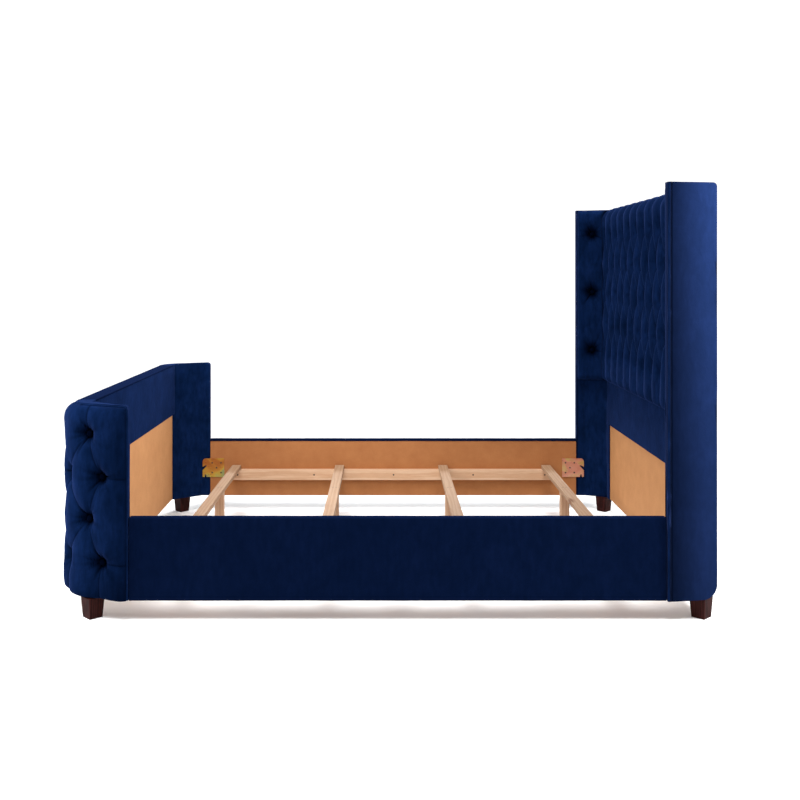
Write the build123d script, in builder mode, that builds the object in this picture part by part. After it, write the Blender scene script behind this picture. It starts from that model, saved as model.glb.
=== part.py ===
from build123d import *
from math import cos, hypot, pi, radians, sin, tan
import os

# A knock-down wingback bed with a tufted headboard, a curved tufted footboard and four loose slats.
# The origin is on the floor under the middle, +Y points to the headboard, +X to the right-hand rail.

# Overall sizes
bed_width = 1650.0
bed_length = 2230.0
headboard_top = 1472.0
footboard_top = 723.0
foot_height = 70.0

# Gaps and overruns shared by all pieces
fit_gap = 0.3
overrun = 5.0

# Cloth and foam layers
cloth = 2.0
thin_padding = 6.0
outer_padding = 8.0
cord_radius = 2.2

# Headboard panel, counted forwards from the back
back_cover_depth = cloth
batten_depth = 16.0
board_depth = 9.0
lower_cover_depth = thin_padding
panel_side_inset = 85.0
board_side_gap = 1.0
stile_width = 70.0
crossrail_height = 70.0
board_top_inset = 32.0
bare_side_margin = 48.0
bare_top = 430.0
tuft_bottom = 640.0
roll_radius = 14.0

# Tufting of the headboard
tuft_side_inset = 20.0
tuft_half_count = 6
first_row_drop = 119.0
last_row_rise = 147.0
row_count = 5
pleat_depth = 4.0
crown_height = 23.0
crown_reach = 34.0
button_radius = 10.0
button_rim_height = 3.0
button_dome_height = 3.5
button_top_radius = 6.5
button_seat = 27.0
crown_rise_shares = (0.45, 0.8, 1.0)
crown_inset_shares = (0.09, 0.36, 1.0)
crown_room_share = 0.7
key_digits = 6

# Headboard wings
wing_depth = 172.0
wing_outer_taper = 28.0
wing_front_width = 40.0
wing_inner_flare = 42.0
wing_flat_length = 43.0
wing_back_rounding = 50.0
wing_top_rounding = 14.0
window_width = 80.0
window_height = 190.0
window_count = 5
wing_button_station = 70.0
wing_button_seat = 22.0
wing_crown_height = 17.0
wing_crown_reach = 17.0
wing_pad_back_reach = 22.0

# Bolts between the wings and the headboard panel
wing_bolt_radius = 3.0
wing_bolt_head_radius = 6.5
wing_bolt_head_height = 4.0
wing_bolt_length = 90.0
wing_bolt_count = 4
wing_bolt_end_inset = 130.0

# Footboard, counted from its outer seam
footboard_tuft_height = 37.0
footboard_crown_reach = 40.0
footboard_thickness = 63.0
footboard_padding = 3.0
footboard_board_depth = 10.0
footboard_cover_depth = 12.0
footboard_bare_top = 483.0
corner_radius = 120.0
flare_angle = 21.5
footboard_wing_length = 216.0
tip_inset = 13.0
tip_flat_length = 37.0
tip_width = 27.0
junction_inset = 125.0
band_height = 6.0
footboard_stile_width = 60.0
footboard_first_row_drop = 101.0
footboard_last_row_rise = 120.0
footboard_row_count = 4
tip_button_station = 98.0
curve_button_station = 150.0
corner_button_station = 246.0
footboard_pitch_count = 11
corner_crown_height = 27.0
pad_back_reach = 26.0
curve_step = 34.0

# Side rails
rail_board_depth = 18.0
rail_cover_depth = 10.0
rail_inner_inset = 41.0
rail_height = 278.0
rail_end_gap = 3.0
rail_lip_height = 11.0
rail_lip_depth = 1.5

# Slats and ledgers
slat_top = 220.0
slat_depth = 19.0
slat_width = 44.0
slat_count = 4
slat_foot_inset = 129.5
slat_head_inset = 149.5
slat_end_gap = 4.0
ledger_height = 50.0
ledger_depth = 25.0
ledger_screw_pitch = 389.5
ledger_screw_offset_y = 11.5
ledger_screw_end_inset = 30.0
leg_side = 38.0
leg_x = 265.0
leg_rounding = 2.0

# Wood screws
screw_radius = 2.0
screw_head_radius = 4.2
screw_head_depth = 2.6
ledger_screw_length = 38.0
leg_screw_length = 55.0
leg_screw_half_spacing = 7.0
plate_screw_length = 15.0
drive_radius = 1.6
drive_depth = 1.4

# Hook plates, seen from inside the bed
plate_thickness = 3.0
plate_height = 91.0
plate_top = 252.0
plate_on_rail = 68.0
hook_reach = 38.0
plate_hole_spacing_y = 43.0
plate_hole_spacing_z = 48.0
plate_hole_margin = 9.0
plate_top_corner = 16.0
plate_low_corner = 4.0
hook_pin_radius = 4.0
slot_play = 0.4
slot_width = 2 * (hook_pin_radius + slot_play)
slot_inner_y = 22.0
slot_inner_drop = 37.0
slot_outer_drop = 41.0
slot_mouth = 17.0
lower_slot_y = 24.0
lower_slot_height = 13.0
hook_pin_length = 18.0
rivet_radius = 5.0
rivet_height = 1.2
rivet_dimple_radius = 2.5
rivet_y = 22.0
rivet_drops = (20.0, 70.0)

# Feet
foot_side_inset = 63.0
foot_front_inset = 84.0
foot_back_inset = 43.0
foot_top_side = 58.0
foot_bottom_side = 48.0
foot_bevel = 1.5
foot_bolt_radius = 4.0
foot_bolt_in_foot = 40.0
foot_bolt_in_frame = 50.0
foot_boss_radius = 18.0
foot_boss_height = 60.0

half_width = bed_width / 2
half_length = bed_length / 2
back_y = half_length
panel_back_y = back_y - back_cover_depth
board_back_y = panel_back_y - batten_depth
board_front_y = board_back_y - board_depth
lower_cover_front_y = board_front_y - lower_cover_depth
wing_front_y = back_y - wing_depth
front_seam_y = -half_length + footboard_tuft_height
inner_face_y = front_seam_y + footboard_thickness
footboard_board_front_y = inner_face_y - footboard_cover_depth
footboard_board_back_y = footboard_board_front_y - footboard_board_depth
footboard_frame_back_y = front_seam_y + footboard_padding
rail_top = foot_height + rail_height
panel_half_width = half_width - panel_side_inset
bare_half_width = panel_half_width - bare_side_margin
tip_x = half_width - tip_inset
tip_y = front_seam_y + footboard_wing_length
tip_flat_x = tip_x - tip_width
junction_x = half_width - junction_inset
rail_inner_x = half_width - rail_inner_inset
foot_x = half_width - foot_side_inset
foot_front_y = front_seam_y + foot_front_inset
foot_back_y = back_y - foot_back_inset
head_rail_end_y = wing_front_y - rail_end_gap
foot_rail_end_y = tip_y + rail_end_gap

os.makedirs("parts", exist_ok=True)


def keep(piece, name):
    """Label a finished piece and write it."""
    piece.part.label = name
    export_step(piece.part, f"parts/{name}.step")


def mirrored(piece):
    """The same piece on the other side of the bed."""
    with BuildPart() as other:
        mirror(piece.part, about=Plane.YZ)
    return other


def side_normals(points):
    """Unit normals of an outline's sides, pointing inwards."""
    count = len(points)
    sides = [(points[i], points[(i + 1) % count]) for i in range(count)]
    turn = 1 if sum(x0 * y1 - x1 * y0 for (x0, y0), (x1, y1) in sides) > 0 else -1
    return [
        ((y0 - y1) / hypot(x1 - x0, y1 - y0) * turn, (x1 - x0) / hypot(x1 - x0, y1 - y0) * turn)
        for (x0, y0), (x1, y1) in sides
    ]


def nearest_side(points, place):
    """How far a place inside an outline is from the nearest of its sides."""
    return min(
        (place[0] - x) * normal[0] + (place[1] - z) * normal[1]
        for (x, z), normal in zip(points, side_normals(points))
    )


def moved_corner(point, before, after, distance):
    """Where a corner goes when the sides before and after it move inwards."""
    spread = 1 + before[0] * after[0] + before[1] * after[1]
    return (
        point[0] + distance * (before[0] + after[0]) / spread,
        point[1] + distance * (before[1] + after[1]) / spread,
    )


def inset(points, cut_corners, distance):
    """Move the sides of a convex outline inwards.

    cut_corners holds the true corner for each pair of points that cuts one off; the pair
    closes up where the cut has shrunk away.
    """
    count = len(points)
    normals = side_normals(points)
    moved = [moved_corner(points[i], normals[i - 1], normals[i], distance) for i in range(count)]
    for i, corner in cut_corners.items():
        k = (i + 1) % count
        along = (points[k][0] - points[i][0]) * (moved[k][0] - moved[i][0])
        along += (points[k][1] - points[i][1]) * (moved[k][1] - moved[i][1])
        if along <= 0:
            moved[i] = moved[k] = moved_corner(corner, normals[i - 1], normals[k], distance)
    return moved


def lattice_cells(stations, rows, top, bottom, edge_cells=True):
    """Outlines of the lobes between the buttons of diamond tufting.

    The first row has its buttons on every second station, the next row on those between them.
    The lobes of the first and last rows run on to the pad's edges between upright pleats.
    """
    cells = []
    last = len(stations) - 1
    for j in range(len(rows)):
        for i in range(j % 2, last + 1, 2):
            if i in (0, last) and not edge_cells:
                continue
            left = [stations[i - 1]] if i > 0 else []
            right = [stations[i + 1]] if i < last else []
            here = stations[i]
            if j == 0:
                above = [(x, top) for x in (left or [here]) + (right or [here])]
            else:
                above = [(here, rows[j - 1])]
            if j == len(rows) - 1:
                below = [(x, bottom) for x in (right or [here]) + (left or [here])]
            else:
                below = [(here, rows[j + 1])]
            cells.append(above + [(x, rows[j]) for x in right] + below + [(x, rows[j]) for x in left])
    return cells


def button_places(stations, rows):
    """Where the buttons of the same lattice stand."""
    last = len(stations) - 1
    return [
        (stations[i], height)
        for j, height in enumerate(rows) for i in range((j + 1) % 2, last + 1, 2) if 0 < i < last
    ]


def towards(start, end, distance):
    """The point at a distance from one corner of an outline on the way to the next."""
    share = distance / hypot(end[0] - start[0], end[1] - start[1])
    return (start[0] + (end[0] - start[0]) * share, start[1] + (end[1] - start[1]) * share)


def cell_outline(cell, buttons, seat):
    """A lobe's outline with its corners cut off beside the buttons, and the cut corners."""
    outline = []
    cut_corners = {}
    for i, corner in enumerate(cell):
        if corner in buttons:
            cut_corners[len(outline)] = corner
            outline.append(towards(corner, cell[i - 1], seat))
            outline.append(towards(corner, cell[(i + 1) % len(cell)], seat))
        else:
            outline.append(corner)
    return outline, cut_corners


def divided(points, counts):
    """The outline's points with each side split into its count of equal pieces."""
    result = []
    for i, (x, z) in enumerate(points):
        x_next, z_next = points[(i + 1) % len(points)]
        for k in range(counts[i]):
            share = k / counts[i]
            result.append((x + (x_next - x) * share, z + (z_next - z) * share))
    return result


def facets(corners):
    """One face through the corners where they lie in a plane, or else two triangles."""
    distinct = []
    for corner in corners:
        if not distinct or (corner - distinct[-1]).length > fit_gap / 100:
            distinct.append(corner)
    if (distinct[0] - distinct[-1]).length <= fit_gap / 100:
        distinct.pop()
    if len(distinct) == 4:
        normal = (distinct[1] - distinct[0]).cross(distinct[2] - distinct[0]).normalized()
        if abs(normal.dot(distinct[3] - distinct[0])) > fit_gap / 1000:
            return [
                Face(Wire.make_polygon(distinct[:3])),
                Face(Wire.make_polygon([distinct[0], distinct[2], distinct[3]])),
            ]
    return [Face(Wire.make_polygon(distinct))]


def closing_facets(outline, middle):
    """One face inside a flat outline, or triangles around its middle point."""
    if middle is None:
        return facets(outline)
    return [
        face for i in range(len(outline))
        if (outline[i] - outline[i - 1]).length > fit_gap / 100
        for face in facets([middle, outline[i - 1], outline[i]])
    ]


def quilt(cells, buttons, place, crown, reach, seat, back, step=None):
    """One closed solid with a crowned lobe over each cell, pleats between and seats for buttons.

    place(station, height, out) gives the point in space; the pleats are at out = 0.
    """
    faces = []
    edges = {}
    for cell in cells:
        outline, cut_corners = cell_outline(cell, buttons, seat)
        counts = [1] * len(outline)
        full = []
        full_counts = []
        for i, point in enumerate(outline):
            if step and i not in cut_corners:
                counts[i] = max(1, round(abs(outline[(i + 1) % len(outline)][0] - point[0]) / step))
            full.append(point)
            full_counts.append(counts[i])
            if i in cut_corners:
                full.append(cut_corners[i])
                full_counts.append(1)
        full = divided(full, full_counts)
        middle = (sum(x for x, z in cell) / len(cell), sum(z for x, z in cell) / len(cell))
        cell_reach = min(reach, crown_room_share * nearest_side(cell, middle))
        rings = [[place(x, z, 0) for x, z in divided(outline, counts)]]
        for rise_share, inset_share in zip(crown_rise_shares, crown_inset_shares):
            ring = divided(inset(outline, cut_corners, cell_reach * inset_share), counts)
            rings.append([place(x, z, crown * rise_share) for x, z in ring])
        for lower, upper in zip(rings, rings[1:]):
            for i in range(len(lower)):
                k = (i + 1) % len(lower)
                faces += facets([lower[i], lower[k], upper[k], upper[i]])
        for i, corner in cut_corners.items():
            seat_corners = (outline[i], corner, outline[i + 1])
            faces += facets([place(x, z, 0) for x, z in seat_corners])
        behind = [place(x, z, -back) for x, z in full]
        faces += closing_facets(rings[-1], place(*middle, crown) if step else None)
        faces += closing_facets(behind, place(*middle, -back) if step else None)
        for i in range(len(full)):
            low, high = sorted(
                ((full[i - 1], behind[i - 1]), (full[i], behind[i])),
                key=lambda end: (round(end[0][1], key_digits), round(end[0][0], key_digits)),
            )
            key = tuple(round(value, key_digits) for value in (*low[0], *high[0]))
            if key in edges:
                edges.pop(key)
            else:
                edges[key] = [place(*low[0], 0), place(*high[0], 0), high[1], low[1]]
    for corners in edges.values():
        faces += facets(corners)
    return Solid(Shell(faces))


def screw_body(plane, length):
    """The outline of a countersunk screw whose head is flush with the plane, along its normal."""
    with BuildPart() as body:
        with BuildSketch(plane):
            Circle(screw_head_radius)
        with BuildSketch(plane.offset(screw_head_depth)):
            Circle(screw_radius)
        loft()
        with BuildSketch(plane.offset(screw_head_depth)):
            Circle(screw_radius)
        extrude(amount=length - screw_head_depth)
    return body.part


def screw(plane, length):
    """A countersunk wood screw with a six-sided drive."""
    with BuildPart() as body:
        add(screw_body(plane, length))
        with BuildSketch(plane):
            RegularPolygon(drive_radius, 6)
        extrude(amount=drive_depth, mode=Mode.SUBTRACT)
    return body.part


# Headboard board, stiles and crossrails
board_top = headboard_top - board_top_inset
board_bottom = foot_height + cloth
with BuildPart() as headboard_board:
    with BuildSketch(Plane.XZ.offset(-board_back_y)):
        with Locations((0, (board_top + board_bottom) / 2)):
            Rectangle(2 * (panel_half_width - board_side_gap), board_top - board_bottom)
    extrude(amount=board_depth)
keep(headboard_board, "headboard_board")

wing_bolt_heights = [
    board_bottom + wing_bolt_end_inset
    + (board_top - board_bottom - 2 * wing_bolt_end_inset) * k / (wing_bolt_count - 1)
    for k in range(wing_bolt_count)
]
wing_bolt_y = board_back_y + batten_depth / 2
wing_bolt_tip_x = panel_half_width - wing_bolt_length / 2

with BuildPart() as headboard_stiles:
    with BuildSketch(Plane.XZ.offset(-panel_back_y)):
        for side in (-1, 1):
            with Locations((side * (panel_half_width - stile_width / 2), (board_top + board_bottom) / 2)):
                Rectangle(stile_width, board_top - board_bottom)
    extrude(amount=batten_depth)
    with BuildSketch(Plane.YZ.offset(wing_bolt_tip_x)):
        with Locations(*[(wing_bolt_y, z) for z in wing_bolt_heights]):
            Circle(wing_bolt_radius)
    extrude(amount=wing_bolt_length, mode=Mode.SUBTRACT)
    with BuildSketch(Plane.YZ.offset(-wing_bolt_tip_x)):
        with Locations(*[(wing_bolt_y, z) for z in wing_bolt_heights]):
            Circle(wing_bolt_radius)
    extrude(amount=-wing_bolt_length, mode=Mode.SUBTRACT)
keep(headboard_stiles, "headboard_stiles")

crossrail_middles = [
    board_bottom + crossrail_height / 2,
    bare_top + crossrail_height / 2,
    (bare_top + board_top) / 2,
    board_top - crossrail_height / 2,
]
with BuildPart() as headboard_crossrails:
    with BuildSketch(Plane.XZ.offset(-panel_back_y)):
        with Locations(*[(0, z) for z in crossrail_middles]):
            Rectangle(2 * (panel_half_width - stile_width), crossrail_height)
    extrude(amount=batten_depth)
keep(headboard_crossrails, "headboard_crossrails")

with BuildPart() as headboard_back_cover:
    with BuildSketch(Plane.XZ.offset(-back_y)):
        with Locations((0, (headboard_top + foot_height) / 2)):
            Rectangle(2 * panel_half_width, headboard_top - foot_height)
    extrude(amount=back_cover_depth)
keep(headboard_back_cover, "headboard_back_cover")

# Plain lower cover, a band over the bare board with a strip down each side
with BuildPart() as headboard_lower_cover:
    with BuildSketch(Plane.XZ.offset(-board_front_y)):
        with Locations((0, (tuft_bottom + foot_height) / 2)):
            Rectangle(2 * panel_half_width, tuft_bottom - foot_height)
        with Locations((0, (bare_top + foot_height) / 2)):
            Rectangle(2 * bare_half_width, bare_top - foot_height, mode=Mode.SUBTRACT)
    extrude(amount=lower_cover_depth)
keep(headboard_lower_cover, "headboard_lower_cover")

# Tufted pad of the headboard, rolled over the top of the board
tuft_row_pitch = (headboard_top - first_row_drop - tuft_bottom - last_row_rise) / (row_count - 1)
tuft_rows = [headboard_top - first_row_drop - k * tuft_row_pitch for k in range(row_count)]
tuft_half_width = panel_half_width - tuft_side_inset
tuft_step = tuft_half_width / (2 * tuft_half_count)
tuft_stations = [k * tuft_step for k in range(-2 * tuft_half_count, 2 * tuft_half_count + 1)]
headboard_cells = lattice_cells(tuft_stations, tuft_rows, headboard_top, tuft_bottom)
headboard_button_places = button_places(tuft_stations, tuft_rows)
headboard_pleat_y = lower_cover_front_y - pleat_depth


def headboard_place(x, z, out):
    return Vector(x, headboard_pleat_y - out, z)


def buttons(planes):
    """Covered buttons with a rim and a low dome, one on each plane."""
    with BuildPart() as group:
        with Locations(*[plane.location for plane in planes]):
            Cylinder(button_radius, button_rim_height, align=(Align.CENTER, Align.CENTER, Align.MIN))
        with Locations(*[plane.offset(button_rim_height).location for plane in planes]):
            Cone(button_radius, button_top_radius, button_dome_height,
                 align=(Align.CENTER, Align.CENTER, Align.MIN))
    return group


def button_recesses(planes):
    """What a pad loses around the buttons between its upright and slanting pleats."""
    with BuildPart() as group:
        with Locations(*[plane.location for plane in planes]):
            Cylinder(button_radius + fit_gap, crown_height,
                     align=(Align.CENTER, Align.CENTER, Align.MIN))
    return group.part


headboard_button_planes = [
    Plane(origin=headboard_place(x, z, 0), x_dir=(1, 0, 0), z_dir=(0, -1, 0))
    for x, z in headboard_button_places
]
with BuildPart() as headboard_tufted_pad:
    add(quilt(headboard_cells, headboard_button_places, headboard_place, crown_height, crown_reach,
              button_seat, board_front_y - headboard_pleat_y))
    with BuildSketch(Plane.YZ) as roll_profile:
        with Locations(((panel_back_y + lower_cover_front_y) / 2, (headboard_top + board_top) / 2)):
            Rectangle(panel_back_y - lower_cover_front_y, headboard_top - board_top)
        fillet(roll_profile.vertices().group_by(Axis.Y)[-1].sort_by(Axis.X)[-1], roll_radius)
    extrude(amount=tuft_half_width, both=True)
    add(button_recesses([
        plane for plane in headboard_button_planes
        if plane.origin.Z in (tuft_rows[0], tuft_rows[-1])
    ]), mode=Mode.SUBTRACT)
keep(headboard_tufted_pad, "headboard_tufted_pad")

headboard_buttons = buttons(headboard_button_planes)
keep(headboard_buttons, "headboard_buttons")

# Wings of the headboard, wedge-shaped in plan, with a flat stretch for the hooks at the front
wing_run = board_front_y - lower_cover_depth - wing_front_y - wing_flat_length
wing_slope = wing_inner_flare / wing_run
wing_flat_x = half_width - wing_front_width
wing_skin_x = thin_padding * hypot(1, wing_slope)


def wing_outer_x(y):
    return half_width - wing_outer_taper * (y - wing_front_y) / wing_depth


def wing_inner_x(y):
    return wing_flat_x - wing_slope * max(0, y - wing_front_y - wing_flat_length)


def wing_profile(margin):
    """Side view of a wing with its back corners rounded, drawn smaller by the margin."""
    with BuildSketch(Plane.YZ) as profile:
        low = foot_height
        high = headboard_top - margin
        front = wing_front_y - overrun
        back = back_y - margin
        with Locations(((front + back) / 2, (low + high) / 2)):
            Rectangle(back - front, high - low)
        fillet(profile.vertices().group_by(Axis.X)[-1].sort_by(Axis.Y)[0], wing_back_rounding - margin)
        fillet(profile.vertices().group_by(Axis.X)[-1].sort_by(Axis.Y)[-1], wing_top_rounding - margin)
    return profile.sketch


wing_strip_y = wing_front_y + thin_padding
wing_bend_y = wing_front_y + wing_flat_length
wing_core_outer = [
    (wing_outer_x(wing_strip_y) - outer_padding, wing_strip_y),
    (wing_outer_x(panel_back_y) - outer_padding, panel_back_y),
]
wing_frame_plan = wing_core_outer + [
    (panel_half_width, panel_back_y),
    (panel_half_width, board_front_y),
    (wing_inner_x(board_front_y) + wing_skin_x, board_front_y),
    (wing_flat_x + thin_padding, wing_bend_y + (wing_skin_x - thin_padding) / wing_slope),
    (wing_flat_x + thin_padding, wing_strip_y),
]
plate_bottom = plate_top - plate_height
hook_pin_places = [
    (slot_inner_y, plate_top - slot_inner_drop),
    (lower_slot_y, plate_bottom + lower_slot_height - slot_width / 2),
]
window_pitch = (headboard_top - foot_height) / window_count
window_middle_y = (wing_strip_y + board_front_y) / 2

with BuildPart() as wing_frame_right:
    with BuildSketch(Plane.XY.offset(foot_height)):
        Polygon(*wing_frame_plan, align=None)
    extrude(amount=headboard_top - thin_padding - foot_height)
    extrude(wing_profile(cloth), amount=bed_width, mode=Mode.INTERSECT)
    with BuildSketch(Plane.YZ):
        with Locations(*[
            (window_middle_y, foot_height + window_pitch * (k + 1 / 2)) for k in range(window_count)
        ]):
            Rectangle(window_width, window_height)
    extrude(amount=bed_width, mode=Mode.SUBTRACT)
    with BuildSketch(Plane.YZ.offset(wing_bolt_tip_x)):
        with Locations(*[(wing_bolt_y, z) for z in wing_bolt_heights]):
            Circle(wing_bolt_radius)
    extrude(amount=wing_bolt_length, mode=Mode.SUBTRACT)
    with BuildSketch(Plane.YZ.offset(wing_bolt_tip_x + wing_bolt_length - wing_bolt_head_height)):
        with Locations(*[(wing_bolt_y, z) for z in wing_bolt_heights]):
            Circle(wing_bolt_head_radius)
    extrude(amount=bed_width, mode=Mode.SUBTRACT)
    with BuildSketch(Plane.YZ):
        with Locations(*[(head_rail_end_y + y, z) for y, z in hook_pin_places]):
            Circle(hook_pin_radius)
    extrude(amount=rail_inner_x - plate_thickness + hook_pin_length, mode=Mode.SUBTRACT)
    with BuildSketch(Plane.XY.offset(foot_height)):
        with Locations((foot_x, foot_back_y)):
            Circle(foot_bolt_radius)
    extrude(amount=foot_bolt_in_frame, mode=Mode.SUBTRACT)
keep(wing_frame_right, "wing_frame_right")
keep(mirrored(wing_frame_right), "wing_frame_left")

with BuildPart() as wing_bolts:
    for depth, radius, length in (
        (wing_bolt_tip_x, wing_bolt_radius, wing_bolt_length - wing_bolt_head_height),
        (wing_bolt_tip_x + wing_bolt_length - wing_bolt_head_height, wing_bolt_head_radius,
         wing_bolt_head_height),
    ):
        with BuildSketch(Plane.YZ.offset(depth)):
            with Locations(*[(wing_bolt_y, z) for z in wing_bolt_heights]):
                Circle(radius)
        extrude(amount=length)
    mirror(about=Plane.YZ)
keep(wing_bolts, "wing_bolts")

with BuildPart() as wing_outer_cover_right:
    with BuildSketch(Plane.XY.offset(foot_height)):
        Polygon(
            (half_width, wing_front_y),
            (wing_outer_x(back_y), back_y),
            (panel_half_width, back_y),
            (panel_half_width, board_front_y),
            (wing_inner_x(board_front_y), board_front_y),
            (wing_flat_x, wing_bend_y),
            (wing_flat_x, wing_front_y),
            align=None,
        )
    extrude(amount=headboard_top - foot_height)
    extrude(wing_profile(0), amount=bed_width, mode=Mode.INTERSECT)
    with BuildSketch(Plane.XY.offset(foot_height - overrun)):
        Polygon(
            *wing_core_outer,
            (panel_half_width - overrun, panel_back_y),
            (panel_half_width - overrun, wing_strip_y),
            align=None,
        )
    extrude(amount=headboard_top - thin_padding - foot_height + overrun, mode=Mode.SUBTRACT)
    with BuildSketch(Plane.XY.offset(foot_height - overrun)):
        with Locations((half_width, wing_front_y)):
            Rectangle(4 * cord_radius, 4 * cord_radius)
    extrude(amount=headboard_top, mode=Mode.SUBTRACT)
keep(wing_outer_cover_right, "wing_outer_cover_right")
keep(mirrored(wing_outer_cover_right), "wing_outer_cover_left")

with BuildPart() as wing_inner_cover_right:
    with BuildSketch(Plane.XY.offset(foot_height)):
        Polygon(
            (wing_flat_x, wing_strip_y),
            (wing_flat_x, wing_bend_y),
            (wing_inner_x(board_front_y), board_front_y),
            (wing_inner_x(board_front_y) + wing_skin_x, board_front_y),
            (wing_flat_x + thin_padding, wing_bend_y + (wing_skin_x - thin_padding) / wing_slope),
            (wing_flat_x + thin_padding, wing_strip_y),
            align=None,
        )
    extrude(amount=tuft_bottom - foot_height)
    with BuildSketch(Plane.YZ):
        with Locations(*[(head_rail_end_y + y, z) for y, z in hook_pin_places]):
            Circle(hook_pin_radius)
    extrude(amount=bed_width, mode=Mode.SUBTRACT)
keep(wing_inner_cover_right, "wing_inner_cover_right")
keep(mirrored(wing_inner_cover_right), "wing_inner_cover_left")

# Piping in the notch of the front outer edge
with BuildPart() as wing_piping:
    with BuildSketch(Plane.XY.offset(foot_height)):
        with Locations((half_width - cord_radius, wing_front_y + cord_radius)):
            Circle(cord_radius)
    extrude(amount=headboard_top - foot_height)
    mirror(about=Plane.YZ)
keep(wing_piping, "wing_piping")

# Tufted pads inside the wings, on a flat slant from the front strip to the panel
wing_pad_front_y = wing_strip_y
wing_pad_back_y = board_front_y - fit_gap
wing_pad_front_x = wing_flat_x
wing_pad_back_x = wing_inner_x(wing_pad_back_y)
wing_pad_length = hypot(wing_pad_back_y - wing_pad_front_y, wing_pad_front_x - wing_pad_back_x)
wing_pad_along = (
    (wing_pad_back_x - wing_pad_front_x) / wing_pad_length,
    (wing_pad_back_y - wing_pad_front_y) / wing_pad_length,
)


def wing_place(station, z, out):
    """A point on the slant: the station runs from the front strip backwards."""
    return Vector(
        wing_pad_front_x + wing_pad_along[0] * station - wing_pad_along[1] * out,
        wing_pad_front_y + wing_pad_along[1] * station + wing_pad_along[0] * out,
        z,
    )


wing_stations = [0, wing_button_station, wing_pad_length]
wing_button_places = button_places(wing_stations, tuft_rows)
wing_button_planes = [
    Plane(
        origin=wing_place(station, z, 0),
        x_dir=(0, 0, 1),
        z_dir=(-wing_pad_along[1], wing_pad_along[0], 0),
    )
    for station, z in wing_button_places
]
with BuildPart() as wing_tufted_pad_right:
    add(quilt(
        lattice_cells(wing_stations, tuft_rows, headboard_top - thin_padding, tuft_bottom),
        wing_button_places, wing_place, wing_crown_height, wing_crown_reach, wing_button_seat,
        wing_pad_back_reach,
    ))
    with BuildSketch(Plane.XY.offset(foot_height)):
        Polygon(
            (wing_flat_x + thin_padding, wing_front_y),
            (wing_flat_x + thin_padding, wing_bend_y + (wing_skin_x - thin_padding) / wing_slope),
            (wing_inner_x(board_front_y) + wing_skin_x, board_front_y),
            (panel_half_width - overrun, board_front_y),
            (panel_half_width - overrun, back_y),
            (half_width, back_y),
            (half_width, wing_front_y),
            align=None,
        )
    extrude(amount=headboard_top, mode=Mode.SUBTRACT)
    add(button_recesses(wing_button_planes), mode=Mode.SUBTRACT)
keep(wing_tufted_pad_right, "wing_tufted_pad_right")
keep(mirrored(wing_tufted_pad_right), "wing_tufted_pad_left")

wing_buttons_right = buttons(wing_button_planes)
with BuildPart() as wing_buttons:
    add(wing_buttons_right.part)
    mirror(about=Plane.YZ)
keep(wing_buttons, "wing_buttons")

# Footboard, with its outer path measured from the tip of the right wing
flare = radians(flare_angle)
turn = pi / 2 - flare
bend_setback = corner_radius * tan(turn / 2)
wing_straight = (tip_y - front_seam_y) / cos(flare) - bend_setback
bend_length = corner_radius * turn
front_half = tip_x - (tip_y - front_seam_y) * tan(flare) - bend_setback
path_length = 2 * (wing_straight + bend_length + front_half)
bend_centre = (front_half, front_seam_y + corner_radius)


def path_point(station, out):
    """Plan point beside the outer path, out millimetres outwards of it."""
    if station > path_length / 2:
        x, y = path_point(path_length - station, out)
        return (-x, y)
    if station <= wing_straight:
        x = tip_x - station * sin(flare)
        y = tip_y - station * cos(flare)
        return (x + out * cos(flare), y - out * sin(flare))
    if station <= wing_straight + bend_length:
        angle = flare + (station - wing_straight) / corner_radius
        reach = corner_radius + out
        return (bend_centre[0] + reach * cos(angle), bend_centre[1] - reach * sin(angle))
    return (front_half - (station - wing_straight - bend_length), front_seam_y - out)


def footboard_place(station, z, out):
    return Vector(*path_point(station, out), z)


slant = (tip_flat_x - junction_x) / (tip_y - tip_flat_length - inner_face_y)


def slant_x(y, out):
    """The slanted stretch of a footboard wing's inner face, out millimetres into the wing."""
    return junction_x + (y - inner_face_y) * slant + out * hypot(1, slant)


band_bottom = footboard_top - band_height
frame_flat_x = tip_flat_x + cloth
frame_slant_top_y = inner_face_y + (frame_flat_x - slant_x(inner_face_y, cloth)) / slant
frame_tip_y = tip_y - thin_padding
frame_tip_station = (thin_padding + footboard_padding * sin(flare)) / cos(flare)
pad_tip_station = frame_tip_station + fit_gap


def footboard_outer_edge(first_station, out):
    """Lines and an arc along the outer path, from a station on the wing to the front."""
    bend_start = path_point(wing_straight, out)
    bend_middle = path_point(wing_straight + bend_length / 2, out)
    bend_end = path_point(wing_straight + bend_length, out)
    Line(path_point(first_station, out), bend_start)
    ThreePointArc(bend_start, bend_middle, bend_end)


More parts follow.
